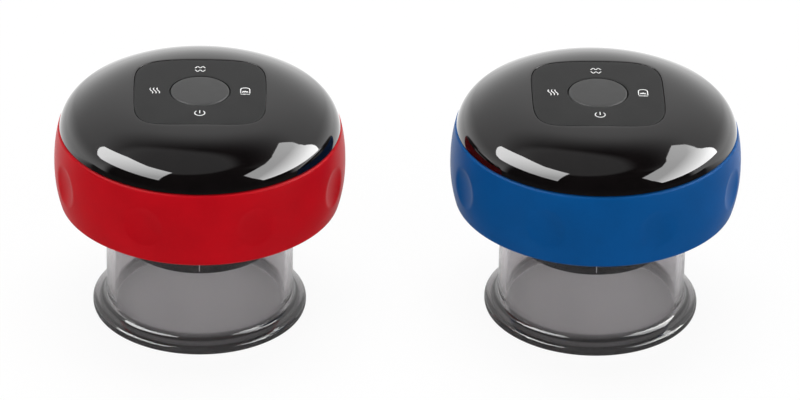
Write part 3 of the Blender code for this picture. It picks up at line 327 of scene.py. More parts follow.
def row_of(radii, height, middle=(0.0, 0.0)):
    """Points at even angles, one for each radius; the height is a number, or a function of the radius."""
    turn = math.tau / len(radii)
    return [
        polar(radius, step * turn, height(radius) if callable(height) else height, middle)
        for step, radius in enumerate(radii)
    ]


def circle(radius, height, steps=ROUND_STEPS, middle=(0.0, 0.0)):
    """A loop of points at one radius and height, or the point on the axis."""
    if radius < 1e-7:
        return [(*middle, height)]
    return row_of([radius] * steps, height, middle)


def turned(name, profile, steps=ROUND_STEPS, closed=False, middle=(0.0, 0.0)):
    """A profile of radii and heights, turned round an upright line."""
    return skin(name, [circle(radius, height, steps, middle) for radius, height in profile], closed)


def rounded(profile, radius_at):
    """The same profile with chosen corners rounded; radius_at maps a corner's number to its radius."""
    out = []
    count = len(profile)
    for number, corner in enumerate(profile):
        if number not in radius_at:
            out.append(corner)
            continue
        here = Vector(corner)
        before = Vector(profile[number - 1]) - here
        after = Vector(profile[(number + 1) % count]) - here
        reach = min(radius_at[number], before.length * 0.49, after.length * 0.49)
        start = here + before.normalized() * reach
        end = here + after.normalized() * reach
        for share in even(5):
            point = start * (1 - share) ** 2 + here * 2 * share * (1 - share) + end * share ** 2
            out.append((point.x, point.y))
    return out


def smooth_line(points, steps):
    """A Catmull-Rom line through points of two numbers."""
    out = []
    ends = [points[0]] + list(points) + [points[-1]]
    for number in range(1, len(ends) - 2):
        a, b, c, d = (Vector(ends[number + offset]) for offset in (-1, 0, 1, 2))
        for t in even(steps)[:-1]:
            point = 0.5 * (
                2 * b + (c - a) * t + (2 * a - 5 * b + 4 * c - d) * t ** 2 + (3 * b - a - 3 * c + d) * t ** 3
            )
            out.append((point.x, point.y))
    out.append(tuple(points[-1]))
    return out


def arc_block(name, inner, outer, low, high, start_deg, end_deg, steps=24):
    """A curved block between two radii, two heights and two angles."""
    rows = []
    for share in even(steps):
        angle = math.radians(start_deg + (end_deg - start_deg) * share)
        rows.append([
            polar(radius, angle, height)
            for radius, height in ((inner, low), (outer, low), (outer, high), (inner, high))
        ])
    return skin(name, rows, capped=True)


def rod_mesh(radius, low, high, steps=24, middle=(0.0, 0.0)):
    """A closed upright rod, for cutting a hole."""
    return turned("hole", [(0, low), (radius, low), (radius, high), (0, high)], steps, middle=middle)


def combine(mesh, others, operation):
    """The mesh joined with, or cut by, closed meshes, by exact Booleans; the others are used up."""
    base = bpy.data.objects.new("work", mesh)
    bpy.context.scene.collection.objects.link(base)
    tools = []
    for other in others:
        tool = bpy.data.objects.new("tool", other)
        bpy.context.scene.collection.objects.link(tool)
        tools.append(tool)
        step = base.modifiers.new("Shape", "BOOLEAN")
        step.operation = operation
        step.solver = "EXACT"
        step.object = tool
    bpy.context.view_layer.update()
    done = bpy.data.meshes.new_from_object(base.evaluated_get(bpy.context.evaluated_depsgraph_get()))
    done.name = mesh.name
    for worker in [base] + tools:
        used = worker.data
        bpy.data.objects.remove(worker)
        bpy.data.meshes.remove(used)
    return done


def merged(name, meshes):
    """Several meshes as one, each its own shell."""
    shape = bmesh.new()
    for mesh in meshes:
        shape.from_mesh(mesh)
        bpy.data.meshes.remove(mesh)
    whole = bpy.data.meshes.new(name)
    shape.to_mesh(whole)
    shape.free()
    return whole


def soften(mesh, crease_deg=CREASE_DEG):
    """Smooth shading, with a hard line wherever two faces meet at more than the crease angle."""
    shape = bmesh.new()
    shape.from_mesh(mesh)
    for face in shape.faces:
        face.smooth = True
    for edge in shape.edges:
        if len(edge.link_faces) == 2:
            edge.smooth = edge.calc_face_angle(0.0) < math.radians(crease_deg)
    shape.to_mesh(mesh)
    shape.free()


def set_piece(side, name, mesh, slot, body, part=None, crease_deg=CREASE_DEG):
    """Puts a mesh on its device: its place, its finish, the body it rides on and the node it stands for."""
    soften(mesh, crease_deg)
    piece = bpy.data.objects.new(f"{side}_{name}", mesh)
    mesh.name = piece.name
    mesh.materials.clear()
    mesh.materials.append(finish_named(slot))
    bpy.context.scene.collection.objects.link(piece)
    piece.location = (axis_of(side), 0, 0)
    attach(piece, body)
    if part:
        node = f"{side}_{part}"
        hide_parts(node)


# Finishes

class NodeBench:
    """Adds nodes to one tree, by short calls."""

    def __init__(self, tree):
        self.tree = tree

    def add(self, kind, **inputs):
        """A node of a kind, its inputs set or linked by name."""
        node = self.tree.nodes.new("ShaderNode" + kind)
        for name, value in inputs.items():
            self.feed(node.inputs[name.replace("_", " ")], value)
        return node

    def feed(self, plug, value):
        """Sets or links one input."""
        if isinstance(value, bpy.types.NodeSocket):
            self.tree.links.new(value, plug)
        else:
            plug.default_value = value

    def fed(self, node, *values):
        """The same node, its first inputs set or linked in order."""
        for plug, value in zip(node.inputs, values):
            self.feed(plug, value)
        return node

    def maths(self, operation, *values):
        """The result of a sum on numbers."""
        node = self.add("Math")
        node.operation = operation
        return self.fed(node, *values).outputs[0]

    def vector(self, operation, *values):
        """The results of a sum on vectors, as Vector or as Value."""
        node = self.add("VectorMath")
        node.operation = operation
        return self.fed(node, *values).outputs

    def mixed(self, share, first, second):
        """Two shaders, mixed by a share of the second."""
        return self.fed(self.add("MixShader"), share, first, second).outputs[0]

    def ranged(self, source, low, high, start=0.0, end=1.0, smooth=False):
        """A value that runs from low to high as the source runs from start to end."""
        node = self.add("MapRange", Value=source, From_Min=start, From_Max=end, To_Min=low, To_Max=high)
        if smooth:
            node.interpolation_type = "SMOOTHSTEP"
        return node.outputs["Result"]

    def blend(self, source, first, second):
        """A colour between two colours."""
        node = self.add("Mix")
        node.data_type = "RGBA"
        self.feed(node.inputs[0], source)
        for plug, value in ((node.inputs[6], first), (node.inputs[7], second)):
            self.feed(plug, (*value, 1.0) if isinstance(value, (tuple, list)) and len(value) == 3 else value)
        return node.outputs[2]


class Finish(NodeBench):
    """A named material: one Principled shader, fed by textures that lie in the object's own space."""

    def __init__(self, name, **sockets):
        self.material = bpy.data.materials.new(name)
        self.material.use_nodes = True
        super().__init__(self.material.node_tree)
        self.shader = self.tree.nodes["Principled BSDF"]
        for socket, value in sockets.items():
            plug = self.shader.inputs[socket.replace("_", " ")]
            plug.default_value = (*value, 1.0) if plug.type == "RGBA" else value
        self.place = self.add("TexCoord").outputs["Object"]
        self.height = None

    def noise(self, grain, detail=3.0, roughness=0.55, stretch=None):
        """Noise with a grain of that length, drawn out along the axes if asked."""
        place = self.place
        if stretch:
            place = self.add("Mapping", Vector=place, Scale=stretch).outputs["Vector"]
        return self.add(
            "TexNoise", Vector=place, Scale=1.0 / grain, Detail=detail, Roughness=roughness,
        ).outputs["Fac"]

    def cells(self, grain):
        """Distance to the nearest cell of that size."""
        return self.add("TexVoronoi", Vector=self.place, Scale=1.0 / grain).outputs["Distance"]

    def rings(self, pitch, distortion):
        """Rings of that pitch round the upright axis."""
        node = self.add("TexWave", Vector=self.place, Scale=1.0 / pitch / math.tau * 2, Distortion=distortion)
        node.wave_type = "RINGS"
        node.rings_direction = "Z"
        return node.outputs["Fac"]

    def shaded(self, source, base, dark, light, start=0.3, end=0.7):
        """A colour between two shares of the base colour."""
        return self.blend(self.ranged(source, 0.0, 1.0, start, end), shade(base, dark), shade(base, light))

    def tint(self, value):
        """Feeds the base colour."""
        self.feed(self.shader.inputs["Base Color"], value)

    def rough(self, source, low, high, start=0.0, end=1.0):
        """Feeds the roughness, which runs from low to high as the source runs from start to end."""
        self.feed(self.shader.inputs["Roughness"], self.ranged(source, low, high, start, end))

    def relief(self, source, depth, strength=1.0):
        """Adds a bump of that depth on top of the relief so far."""
        node = self.add("Bump", Height=source, Distance=depth, Strength=strength)
        if self.height is not None:
            self.tree.links.new(self.height, node.inputs["Normal"])
        self.height = node.outputs["Normal"]
        self.tree.links.new(self.height, self.shader.inputs["Normal"])
        return self


def shade(base, share):
    """A colour made lighter or darker by a share."""
    return tuple(min(1.0, channel * share) for channel in base)


def soft_touch(name, base):
    """Rubbery soft-touch coat: fine grain, faint clouds, a little lighter where hands rub it."""
    finish = Finish(name, Sheen_Weight=0.022, Sheen_Roughness=0.30, Specular_IOR_Level=0.04)
    grain = finish.noise(0.00045, 4.0, 0.6)
    cloud = finish.noise(0.016, 3.0)
    rubbed = finish.shaded(cloud, base, 0.93, 1.07, 0.35, 0.70)
    finish.tint(finish.blend(finish.ranged(grain, 0.0, 0.22, 0.45, 0.75), rubbed, shade(base, 1.30)))
    finish.rough(cloud, 0.36, 0.44)
    return finish.relief(grain, 0.000022, 0.55).relief(finish.noise(0.00018, 2.0), 0.000008, 0.5).material


def gloss_black(base):
    """Polished black lacquer with faint flow marks and the hairlines that wiping leaves."""
    finish = Finish("gloss_dome", IOR=1.50)
    dust = finish.noise(0.0060, 4.0, 0.5)
    hair = finish.noise(0.00035, 2.0, 0.5, stretch=(1.0, 0.06, 1.0))
    finish.tint(finish.shaded(dust, base, 1.0, 1.5))
    finish.rough(hair, 0.030, 0.055, 0.45, 0.80)
    return finish.relief(finish.noise(0.011, 2.0), 0.000010, 0.4).material


def pad_rubber(base):
    """Matte silicone skin with a fine moulded grain."""
    finish = Finish("pad_silicone", Specular_IOR_Level=0.08)
    grain = finish.noise(0.00022, 3.0, 0.6)
    cloud = finish.noise(0.0075, 3.0)
    finish.tint(finish.shaded(cloud, base, 0.94, 1.07))
    finish.rough(cloud, 0.60, 0.70)
    return finish.relief(grain, 0.000010, 0.5).material


def button_plastic(base):
    """Satin moulded plastic with a fine spark-eroded grain."""
    finish = Finish("button_grey", Specular_IOR_Level=0.18)
    grain = finish.noise(0.00028, 4.0, 0.6)
    cloud = finish.noise(0.0050, 2.0)
    finish.tint(finish.shaded(cloud, base, 0.95, 1.06))
    finish.rough(grain, 0.42, 0.54)
    return finish.relief(grain, 0.000012, 0.5).material


def printed_ink(base):
    """Pad-printed white ink, a little thin where the pad lifted."""
    finish = Finish("printed_white", Specular_IOR_Level=0.3)
    thin = finish.noise(0.00030, 3.0)
    finish.tint(finish.blend(finish.ranged(thin, 0.0, 0.35, 0.55, 0.80), base, shade(base, 0.72)))
    finish.rough(thin, 0.48, 0.62)
    return finish.relief(thin, 0.000005, 0.4).material


def smoked_clear(base):
    """Smoke-tinted clear plastic, polished: the foot is darker, partly for its thicker smoke and partly as
    painted shade of the shadowed floor under it, and darkest in a painted shade line where the wall meets it.
    """
    finish = Finish("clear_cup", Transmission_Weight=1.0, IOR=1.49)
    foot_top, wall_low, wall_clear = 0.0040, 0.0050, 0.0056
    painted_shade_inner, painted_shade_outer = 0.0310, 0.0316
    flow = finish.noise(0.012, 3.0, 0.5, stretch=(1.0, 1.0, 0.35))
    mist = finish.noise(0.0016, 3.0, 0.5)
    wall = finish.shaded(flow, base, 0.97, 1.03)
    height = finish.add("SeparateXYZ", Vector=finish.place).outputs["Z"]
    level = finish.vector("MULTIPLY", finish.place, (1.0, 1.0, 0.0))["Vector"]
    radius = finish.vector("LENGTH", level)["Value"]
    # Painted shade: inside the inner radius the tint drops to a sixth of the smoke, a dark line standing in
    # for the refraction where the wall meets the foot
    foot = finish.shaded(radius, base, 0.16, 0.85, painted_shade_inner, painted_shade_outer)
    # Below the foot's top the cup takes that darker tint: partly the thicker smoke, partly painted shade of
    # the shadowed floor under the foot
    finish.tint(finish.blend(finish.ranged(height, 0.0, 1.0, foot_top, wall_low), foot, wall))
    # The foot is also a little less clear, which deepens the same painted shade
    clear = finish.ranged(height, 0.90, 1.0, foot_top, wall_clear)
    finish.feed(finish.shader.inputs["Transmission Weight"], clear)
    finish.rough(mist, 0.02, 0.06)
    return finish.relief(flow, 0.000015, 0.25).material


def moulded_black(base):
    """Black housing plastic with a spark-eroded skin."""
    finish = Finish("black_housing", Specular_IOR_Level=0.10)
    pits = finish.cells(0.00034)
    cloud = finish.noise(0.0090, 3.0)
    finish.tint(finish.shaded(cloud, base, 0.85, 1.3))
    finish.rough(cloud, 0.30, 0.42)
    return finish.relief(pits, 0.000012, 0.35).material


def milky_silicone():
    """Translucent silicone, softly clouded, with a faint skin of dust."""
    finish = Finish(
        "silicone", Subsurface_Weight=0.35, Subsurface_Radius=(0.002, 0.002, 0.0018), Subsurface_Scale=1.0,
    )
    cloud = finish.noise(0.0025, 3.0)
    finish.tint(finish.blend(cloud, (0.56, 0.56, 0.53), (0.70, 0.70, 0.68)))
    finish.rough(cloud, 0.42, 0.58)
    return finish.relief(finish.noise(0.0003, 2.0), 0.000008, 0.4).material


def turned_metal(name, base, pitch, low, high):
    """Metal with fine turning lines round the part."""
    finish = Finish(name, Metallic=1.0)
    lines = finish.rings(pitch, 0.6)
    cloud = finish.noise(0.0030, 3.0)
    finish.tint(finish.blend(cloud, shade(base, 0.88), shade(base, 1.06)))
    finish.rough(finish.noise(0.0004, 3.0, 0.6, stretch=(1.0, 1.0, 0.1)), low, high)
    return finish.relief(lines, 0.000006, 0.5).material


def circuit_green():
    """Solder mask over copper tracks, with bare pads and a scatter of vias."""
    finish = Finish("circuit_board", Specular_IOR_Level=0.5)
    tracks = finish.add(
        "TexBrick", Vector=finish.place, Scale=260.0, Mortar_Size=0.07,
        Color1=(0.0, 0.0, 0.0, 1.0), Color2=(0.25, 0.25, 0.25, 1.0), Mortar=WHITE,
    ).outputs
    mask = finish.blend(tracks["Color"], (0.010, 0.085, 0.032), (0.030, 0.190, 0.075))
    vias = finish.ranged(finish.cells(0.0022), 1.0, 0.0, 0.10, 0.16)
    finish.tint(finish.blend(vias, mask, (0.62, 0.50, 0.26)))
    finish.rough(vias, 0.34, 0.22)
    return finish.relief(tracks["Fac"], 0.00003, 0.5).material


def open_foam():
    """Open-cell foam."""
    finish = Finish("foam")
    cells = finish.cells(0.00045)
    skin_share = finish.ranged(cells, 0.0, 1.0, 0.1, 0.6)
    finish.tint(finish.blend(skin_share, (0.24, 0.24, 0.23), (0.68, 0.67, 0.64)))
    finish.rough(cells, 0.95, 0.80)
    return finish.relief(cells, 0.00018, 0.9).material


def natural_nylon():
    """Natural nylon, slightly waxy, with flow marks."""
    finish = Finish(
        "nylon", Subsurface_Weight=0.12, Subsurface_Radius=(0.0015, 0.0013, 0.0010), Subsurface_Scale=1.0,
    )
    flow = finish.noise(0.0035, 4.0, stretch=(1.0, 1.0, 0.4))
    finish.tint(finish.blend(flow, (0.70, 0.68, 0.62), (0.84, 0.83, 0.79)))
    finish.rough(flow, 0.38, 0.52)
    return finish.relief(finish.noise(0.0004, 2.0), 0.000008, 0.4).material


def cell_sleeve():
    """Shrink sleeve of a plain cell: satin blue with fine wrinkles along it."""
    finish = Finish("cell_wrap", Specular_IOR_Level=0.5)
    wrinkle = finish.noise(0.0022, 4.0, stretch=(0.12, 1.0, 1.0))
    crest = finish.ranged(wrinkle, 0.0, 1.0, 0.3, 0.7)
    finish.tint(finish.blend(crest, (0.022, 0.12, 0.34), (0.04, 0.19, 0.47)))
    finish.rough(wrinkle, 0.26, 0.40)
    return finish.relief(wrinkle, 0.00006, 0.5).material


def soft_rubber():
    """Black diaphragm rubber with a bloom of talc."""
    finish = Finish("black_rubber")
    bloom = finish.noise(0.0018, 4.0)
    talc = finish.ranged(bloom, 0.0, 1.0, 0.4, 0.8)
    finish.tint(finish.blend(talc, (0.012, 0.012, 0.012), (0.05, 0.05, 0.05)))
    finish.rough(bloom, 0.62, 0.82)
    return finish.relief(bloom, 0.00002, 0.4).material


MADE = {}


def finish_named(slot):
    """The material of a slot, made the first time it is asked for."""
    if slot in MADE:
        return MADE[slot]
    colours = bpy.context.scene.cup_finishes
    makers = {
        "red_grip": lambda: soft_touch("red_grip", tuple(colours.red)),
        "blue_grip": lambda: soft_touch("blue_grip", tuple(colours.blue)),
        "gloss_dome": lambda: gloss_black(tuple(colours.dome)),
        "pad_silicone": lambda: pad_rubber(tuple(colours.pad)),
        "button_grey": lambda: button_plastic(tuple(colours.button)),
        "printed_white": lambda: printed_ink(tuple(colours.ink)),
        "clear_cup": lambda: smoked_clear(tuple(colours.smoke)),
        "black_housing": lambda: moulded_black(tuple(colours.housing)),
        "silicone": milky_silicone,
        "aluminium_plate": lambda: turned_metal("aluminium_plate", (0.80, 0.80, 0.81), 0.0004, 0.24, 0.36),
        "steel": lambda: turned_metal("steel", (0.62, 0.61, 0.60), 0.0003, 0.20, 0.34),
        "circuit_board": circuit_green,
        "foam": open_foam,
        "nylon": natural_nylon,
        "cell_wrap": cell_sleeve,
        "black_rubber": soft_rubber,
    }
    MADE[slot] = makers[slot]()
    return MADE[slot]


# Shapes of the device

def barrel_radius(share, grip):
    """Outer radius of the grip ring at a share of its height."""
    if share > WAIST_SHARE:
        return HEAD_RADIUS - grip.top_inset * ((share - WAIST_SHARE) / (1 - WAIST_SHARE)) ** BARREL_POWER
    return HEAD_RADIUS - grip.foot_inset * ((WAIST_SHARE - share) / WAIST_SHARE) ** BARREL_POWER


def dimple_radius(angle, height, grip):
    """Radius at which the nearest dimple's ball meets a level line at that angle, or None."""
    sag = HEAD_RADIUS - math.sqrt(HEAD_RADIUS ** 2 - (grip.dimple_width / 2) ** 2)
    ball = grip.dimple_ball
    tall = grip.dimple_height / 2 / math.sqrt(1 - ((ball - grip.dimple_depth) / ball) ** 2)
    wide = grip.dimple_width / 2 / math.sqrt(1 - ((ball - grip.dimple_depth + sag) / ball) ** 2)
    reach = HEAD_RADIUS + ball - grip.dimple_depth
    eighth = math.tau / 8
    away = (angle % eighth) - eighth / 2
    lift = height - (RING_FOOT + RING_TOP) / 2
    a = math.cos(away) ** 2 / ball ** 2 + math.sin(away) ** 2 / wide ** 2
    b = -2 * reach * math.cos(away) / ball ** 2
    c = reach ** 2 / ball ** 2 + lift ** 2 / tall ** 2 - 1
    inside = b * b - 4 * a * c
    return (-b - math.sqrt(inside)) / (2 * a) if inside > 0 else None


def ring_mesh(grip):
    """The coloured barrel with its eight dimples, in rows about half a millimetre apart."""
    rows = []
    tall = RING_TOP - RING_FOOT
    edge = grip.edge_round
    lip = grip.dimple_lip
    for share in reversed(even(RING_LEVELS)):
        height = RING_FOOT + tall * share
        radius = barrel_radius(share, grip)
        for distance in (RING_TOP - height, height - RING_FOOT):
            if distance < edge:
                radius -= edge - math.sqrt(max(edge ** 2 - (edge - distance) ** 2, 0))
        radii = []
        for step in range(RING_STEPS):
            ball = dimple_radius(step * math.tau / RING_STEPS, height, grip)
            if ball is None:
                radii.append(radius)
                continue
            over = max(lip - abs(radius - ball), 0.0) / lip
            radii.append(min(radius, ball) - over * over * lip / 4)
        rows.append(row_of(radii, height))
    plate_bore = HEAD_RADIUS - grip.foot_inset - grip.wall + GAP
    ledge_low = BASE_TOP + GAP
    ledge_bore = plate_bore - GAP - LEDGE_REACH
    wide_bore = HEAD_RADIUS - grip.wall
    dome_bore = wide_bore - grip.top_inset
    inner = [
        (plate_bore, RING_FOOT), (plate_bore, ledge_low), (ledge_bore, ledge_low),
        (ledge_bore, ledge_low + LEDGE_THICK), (wide_bore, ledge_low + LEDGE_THICK),
        (wide_bore, RING_TOP - DOME_SEAT), (dome_bore, RING_TOP - DOME_SEAT), (dome_bore, RING_TOP),
    ]
    rows += [circle(radius, height, RING_STEPS) for radius, height in inner]
    return skin("grip", rows, closed=True)


def port_slot():
    """The cutter of the charging slot, from the packed port's own box."""
    low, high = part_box("red_usb_port")
    middle = (low.z + high.z) / 2
    half = (high.x - low.x) / 2 + GAP
    radius = (high.z - low.z) / 2 + GAP
    rows = []
    for depth in (high.y - SLOT_DEPTH, HEAD_RADIUS + SLOT_PAST):
        row = []
        for side in (1, -1):
            for share in even(16):
                out, up, _ = polar(radius, math.pi * (share - 0.5))
                row.append((side * (half - radius + out), depth, middle + side * up))
        rows.append(row)
    return skin("slot", rows, capped=True)


class DomeLine:
    """The dome's outline: the centre of its shoulder and the height of its crown."""

    def __init__(self, scene):
        dome = scene.cup_dome
        inset = scene.cup_grip.top_inset
        start = math.radians(SHOULDER_START)
        self.rise = dome.crown_rise
        self.seam = RING_TOP + GAP
        self.radius = HEAD_RADIUS - inset - GAP - dome.shoulder * math.cos(start)
        self.height = self.seam - dome.shoulder * math.sin(start)
        self.crown_radius, crown_low = self.point(dome.shoulder, SHOULDER_END)
        self.top = crown_low + dome.crown_rise

    def point(self, radius, angle_deg):
        """A point of an arc about the shoulder's centre."""
        angle = math.radians(angle_deg)
        return (self.radius + radius * math.cos(angle), self.height + radius * math.sin(angle))

    def crown(self, radius):
        """Height of the crown at a radius."""
        return self.top - self.rise * (radius / self.crown_radius) ** CROWN_POWER


def square_radii(width):
    """Radii of a soft-cornered square, at even angles."""
    radii = []
    for step in range(SQUARE_STEPS):
        out, up, _ = polar(1.0, step * math.tau / SQUARE_STEPS)
        radii.append(width / 2 / (abs(out) ** SQUARE_POWER + abs(up) ** SQUARE_POWER) ** (1 / SQUARE_POWER))
    return radii


def rolled(line, radii, edge, share):
    """A row on a rolled edge of the crown, inwards if the edge is negative: level at 0, upright at 1."""
    bend = math.pi / 2 * share
    drop = abs(edge) * (1 - math.cos(bend))
    out = [radius + edge * math.sin(bend) for radius in radii]
    return row_of(out, lambda radius: line.crown(radius) - drop)


def dome_mesh(dome, grip, pad, line):
    """The glossy dome: crown from the pad's recess outwards, round shoulder, spigot and the hollow inside."""
    edge = dome.edge_round
    recess = square_radii(pad.width + 2 * pad.seat_gap)
    floor = PAD_LOW - GAP
    rows = [[(0, 0, floor)], row_of(recess, floor)]
    rows += [rolled(line, [radius + edge for radius in recess], -edge, share) for share in reversed(even(4))]
    for share in even(18)[1:]:
        radii = [(radius + edge) * (1 - share) + line.crown_radius * share for radius in recess]
        rows.append(row_of(radii, line.crown))
    spigot = HEAD_RADIUS - grip.top_inset - grip.wall - GAP
    bore = spigot - SPIGOT_WALL
    inner = dome.shoulder - dome.wall
    ceiling = line.height + inner
    start = math.degrees(math.acos((bore - line.radius) / inner))
    swing = SHOULDER_END - SHOULDER_START
    profile = [line.point(dome.shoulder, SHOULDER_END - swing * share) for share in even(36)[1:]]
    profile += [(spigot, line.seam), (spigot, line.seam - dome.spigot), (bore, line.seam - dome.spigot)]
    profile += [line.point(inner, start + (90 - start) * share) for share in even(8)]
    profile.append((0, ceiling))
    rows += [circle(radius, height, SQUARE_STEPS) for radius, height in profile]
    low, high = ceiling - CUT_PAST, floor + CUT_PAST
    holes = [rod_mesh(STEM_HOLE, low, high)]
    for step in range(4):
        holes.append(rod_mesh(PIN_HOLE, low, high, middle=polar(pad.key_place, math.tau * step / 4)[:2]))
    return combine(skin("dome", rows), holes, "DIFFERENCE")


def pad_mesh(pad, line):
    """The soft key pad: follows the crown, with a rolled outer edge and a round hole for the button."""
    hole = pad.button_radius + GAP
    start = hole + HOLE_EDGE
    edge = pad.edge_round
    rim = square_radii(pad.width)
    rows = [circle(hole, PAD_LOW, SQUARE_STEPS)]
    rows += [rolled(line, [start] * SQUARE_STEPS, -HOLE_EDGE, share) for share in reversed(even(3))]
    for share in even(14)[1:]:
        rows.append(row_of([start * (1 - share) + (radius - edge) * share for radius in rim], line.crown))
    rows += [rolled(line, [radius - edge for radius in rim], edge, share) for share in even(5)[1:]]
    rows.append(row_of(rim, PAD_LOW))
    return skin("pad", rows, closed=True)


def button_mesh(pad):
    """The centre button: a barely crowned disc with a rolled edge, on the stem that presses its switch."""
    low, high = BUTTON_BOX
    radius = pad.button_radius
    edge = pad.button_edge
    top = high.z - edge / 4
    skirt = PAD_LOW + SKIRT_LIFT
    profile = [(0, high.z)]
    for share in (0.25, 0.5, 0.75, 0.9):
        profile.append(((radius - edge) * share, high.z - (high.z - top) * share ** 2))
    for share in even(8):
        bend = math.pi / 2 * share
        profile.append((radius - edge + edge * math.sin(bend), top - edge * (1 - math.cos(bend))))
    profile += [
        (radius, skirt), (STEM_RADIUS, skirt), (STEM_RADIUS, low.z + TIP_LENGTH),
        (TIP_RADIUS, low.z + TIP_LENGTH), (TIP_RADIUS, low.z), (0, low.z),
    ]
    return turned("button", profile, BUTTON_STEPS)


def printed_line(points, pad, line):
    """A line of ink with round ends on the crown's curve, through points counted from the device's axis."""
    half = pad.line_width / 2
    rows = []
    for number, point in enumerate(points):
        along = Vector(points[min(number + 1, len(points) - 1)]) - Vector(points[max(number - 1, 0)])
        across = along.normalized().orthogonal() * half
        row = []
        for share, lift in ((1.0, 0.0), (0.8, pad.ink), (-0.8, pad.ink), (-1.0, 0.0)):
            spot = Vector(point) + across * share
            row.append((spot.x, spot.y, line.crown(spot.length) + lift + INK_LIFT))
        rows.append(row)
    # The last end gets its cap, and after a reversal the first end, which puts the rows back in order
    for _ in range(2):
        away = Vector(rows[-1][0]) - Vector(rows[-2][0])
        tip = (Vector(rows[-1][1]) + Vector(rows[-1][2])) / 2 + away.normalized() * half * 0.8
        cap = [tuple(Vector(corner) * 0.45 + tip * 0.55) for corner in rows[-1]]
        rows += [cap, [tuple(sum((Vector(corner) for corner in cap), Vector()) / 4)]]
        rows.reverse()
    return skin("ink", rows)


def symbol_lines(name):
    """The lines of one symbol about its own middle, in units of its width, upright for someone in front."""
    if name == "mode":
        wave = [(0.88 * (share - 0.5), 0.32 - 0.13 * math.cos(2 * math.tau * share)) for share in even(32)]
        return [[(x, side * y) for x, y in wave] for side in (1, -1)]
    if name == "heat":
        wave = [
            (0.075 * math.sin(math.tau * share) + 0.16 * (0.5 - share), 0.92 * (share - 0.5))
            for share in even(20)
        ]
        return [[(x + shift, y) for x, y in wave] for shift in (-0.29, 0.0, 0.29)]
    if name == "power":
        turns = [math.radians(44 + 272 * share) for share in even(40)]
        return [
            [(0.425 * math.sin(turn), 0.425 * math.cos(turn)) for turn in turns],
            [(0.0, 0.46 * share - 0.03) for share in even(4)],
        ]
    arch = list(ARCH_HALF) + [(-x, y) for x, y in reversed(ARCH_HALF[:-1])]
    base = [(0.76 * share - 0.38, -0.56) for share in even(6)]
    return [smooth_line(arch, 5), smooth_line(ARCH_TEETH, 4), base]


def symbol_strokes(name, pad, line):
    """The printed strokes of one symbol, at its key."""
    size = pad.symbol_width
    right, back = (pad.symbol_place * side for side in KEY_SIDES[name])
    return [
        printed_line([(right + x * size, back + y * size) for x, y in points], pad, line)
        for points in symbol_lines(name)
    ]


def cup_mesh(cup):
    """The clear cup: straight wall, flared foot, rim, and the neck's three lugs with their stops."""
    radius = FOOT_RADIUS - cup.foot_flare
    bore = radius - cup.wall
    lip = NECK_ROUND
    wall_top = CUP_HEIGHT - NECK_BAND
    wall_low = cup.foot_height + lip
    outer = [(radius - lip * back, CUP_HEIGHT - lip * down) for back, down in ((1, 0), (0.3, 0.3), (0, 1))]
    outer += [(radius, wall_top - (wall_top - wall_low) * share) for share in even(16)]
    outer += [
        (radius + cup.foot_flare * out, cup.foot_height * up)
        for out, up in smooth_line(FOOT_LINE[:-1], 6) + [(0.97, 0.06), (0.90, 0.01), FOOT_LINE[-1]]
    ]
    edge = FOOT_RADIUS - cup.rim_width
    low = 0.0006 + edge - bore
    inner = [(edge + out, up) for out, up in ((0.0006, 0.0), (0.0001, 0.0002), (-0.0003, 0.0005))]
    inner.append((bore + 0.0002, low - 0.0004))
    inner += [(bore, low + (CUP_HEIGHT - low - lip) * share) for share in even(12)]
    inner.append((bore + lip, CUP_HEIGHT))
    body = turned("cup", outer + inner, closed=True)
    lugs = []
    for turn in (-30, 90, 210):
        start, end = turn - LUG_HALF_DEG, turn + LUG_HALF_DEG
        depths = (radius - LUG_ROOT, radius + LUG_REACH)
        lugs.append(arc_block("lug", *depths, CUP_LUG_LOW, CUP_LUG_LOW + LUG_HEIGHT, start, end))
        stop_top = CUP_LUG_LOW + STOP_OVERLAP
        lugs.append(arc_block("stop", *depths, HEAD_LUG_LOW, stop_top, start, start + STOP_DEG, 6))
    return combine(body, lugs, "UNION")


def hub_mesh(cup, grip):
    """The black lower housing: disc, bayonet collar with its lugs, and the hub that reaches into the cup."""
    radius = HEAD_RADIUS - grip.foot_inset - grip.wall
    neck = FOOT_RADIUS - cup.foot_flare
    shoulder = neck - cup.wall - GAP
    collar_bore = neck + LUG_REACH + LUG_PLAY
    collar = collar_bore + COLLAR_WALL
    collar_low = HEAD_LUG_LOW - GAP
    neck_low = BASE_LOW - HUB_SHOULDER
    rib_top = neck_low - SEAL_HEIGHT - 2 * GAP
    rib_low = rib_top - RIB_THICK
    hub = cup.hub_radius
    rib = hub + RIB_REACH
    hub_bore = hub - HUB_WALL
    shelf_bore = hub_bore - SHELF_REACH
    shelf_low = HUB_LOW + SHELF_RISE
    shelf_top = shelf_low + SHELF_THICK
    profile = [
        (radius, BASE_TOP), (radius, BASE_LOW), (collar, BASE_LOW), (collar, collar_low),
        (collar_bore, collar_low), (collar_bore, BASE_LOW), (shoulder, BASE_LOW), (shoulder, neck_low),
        (hub, neck_low), (hub, rib_top), (rib, rib_top), (rib, rib_low),
        (hub, rib_low), (hub, HUB_LOW), (hub_bore, HUB_LOW),
        (hub_bore, shelf_low), (shelf_bore, shelf_low), (shelf_bore, shelf_top),
        (hub_bore, shelf_top), (hub_bore, BASE_TOP),
    ]
    corners = {1: 0.0004, 2: 0.0006, 3: 0.0004, 4: 0.0004, 10: 0.0003, 11: 0.0003, 13: 0.0008, 14: 0.0004}
    body = turned("base", rounded(profile, corners), closed=True)
    lugs = [
        arc_block(
            "lug", neck + LUG_PLAY, collar_bore + LUG_ROOT, HEAD_LUG_LOW, HEAD_LUG_LOW + LUG_HEIGHT,
            turn - LUG_HALF_DEG, turn + LUG_HALF_DEG,
        )
        for turn in (-90, 30, 150)
    ]
    return combine(body, lugs, "UNION")


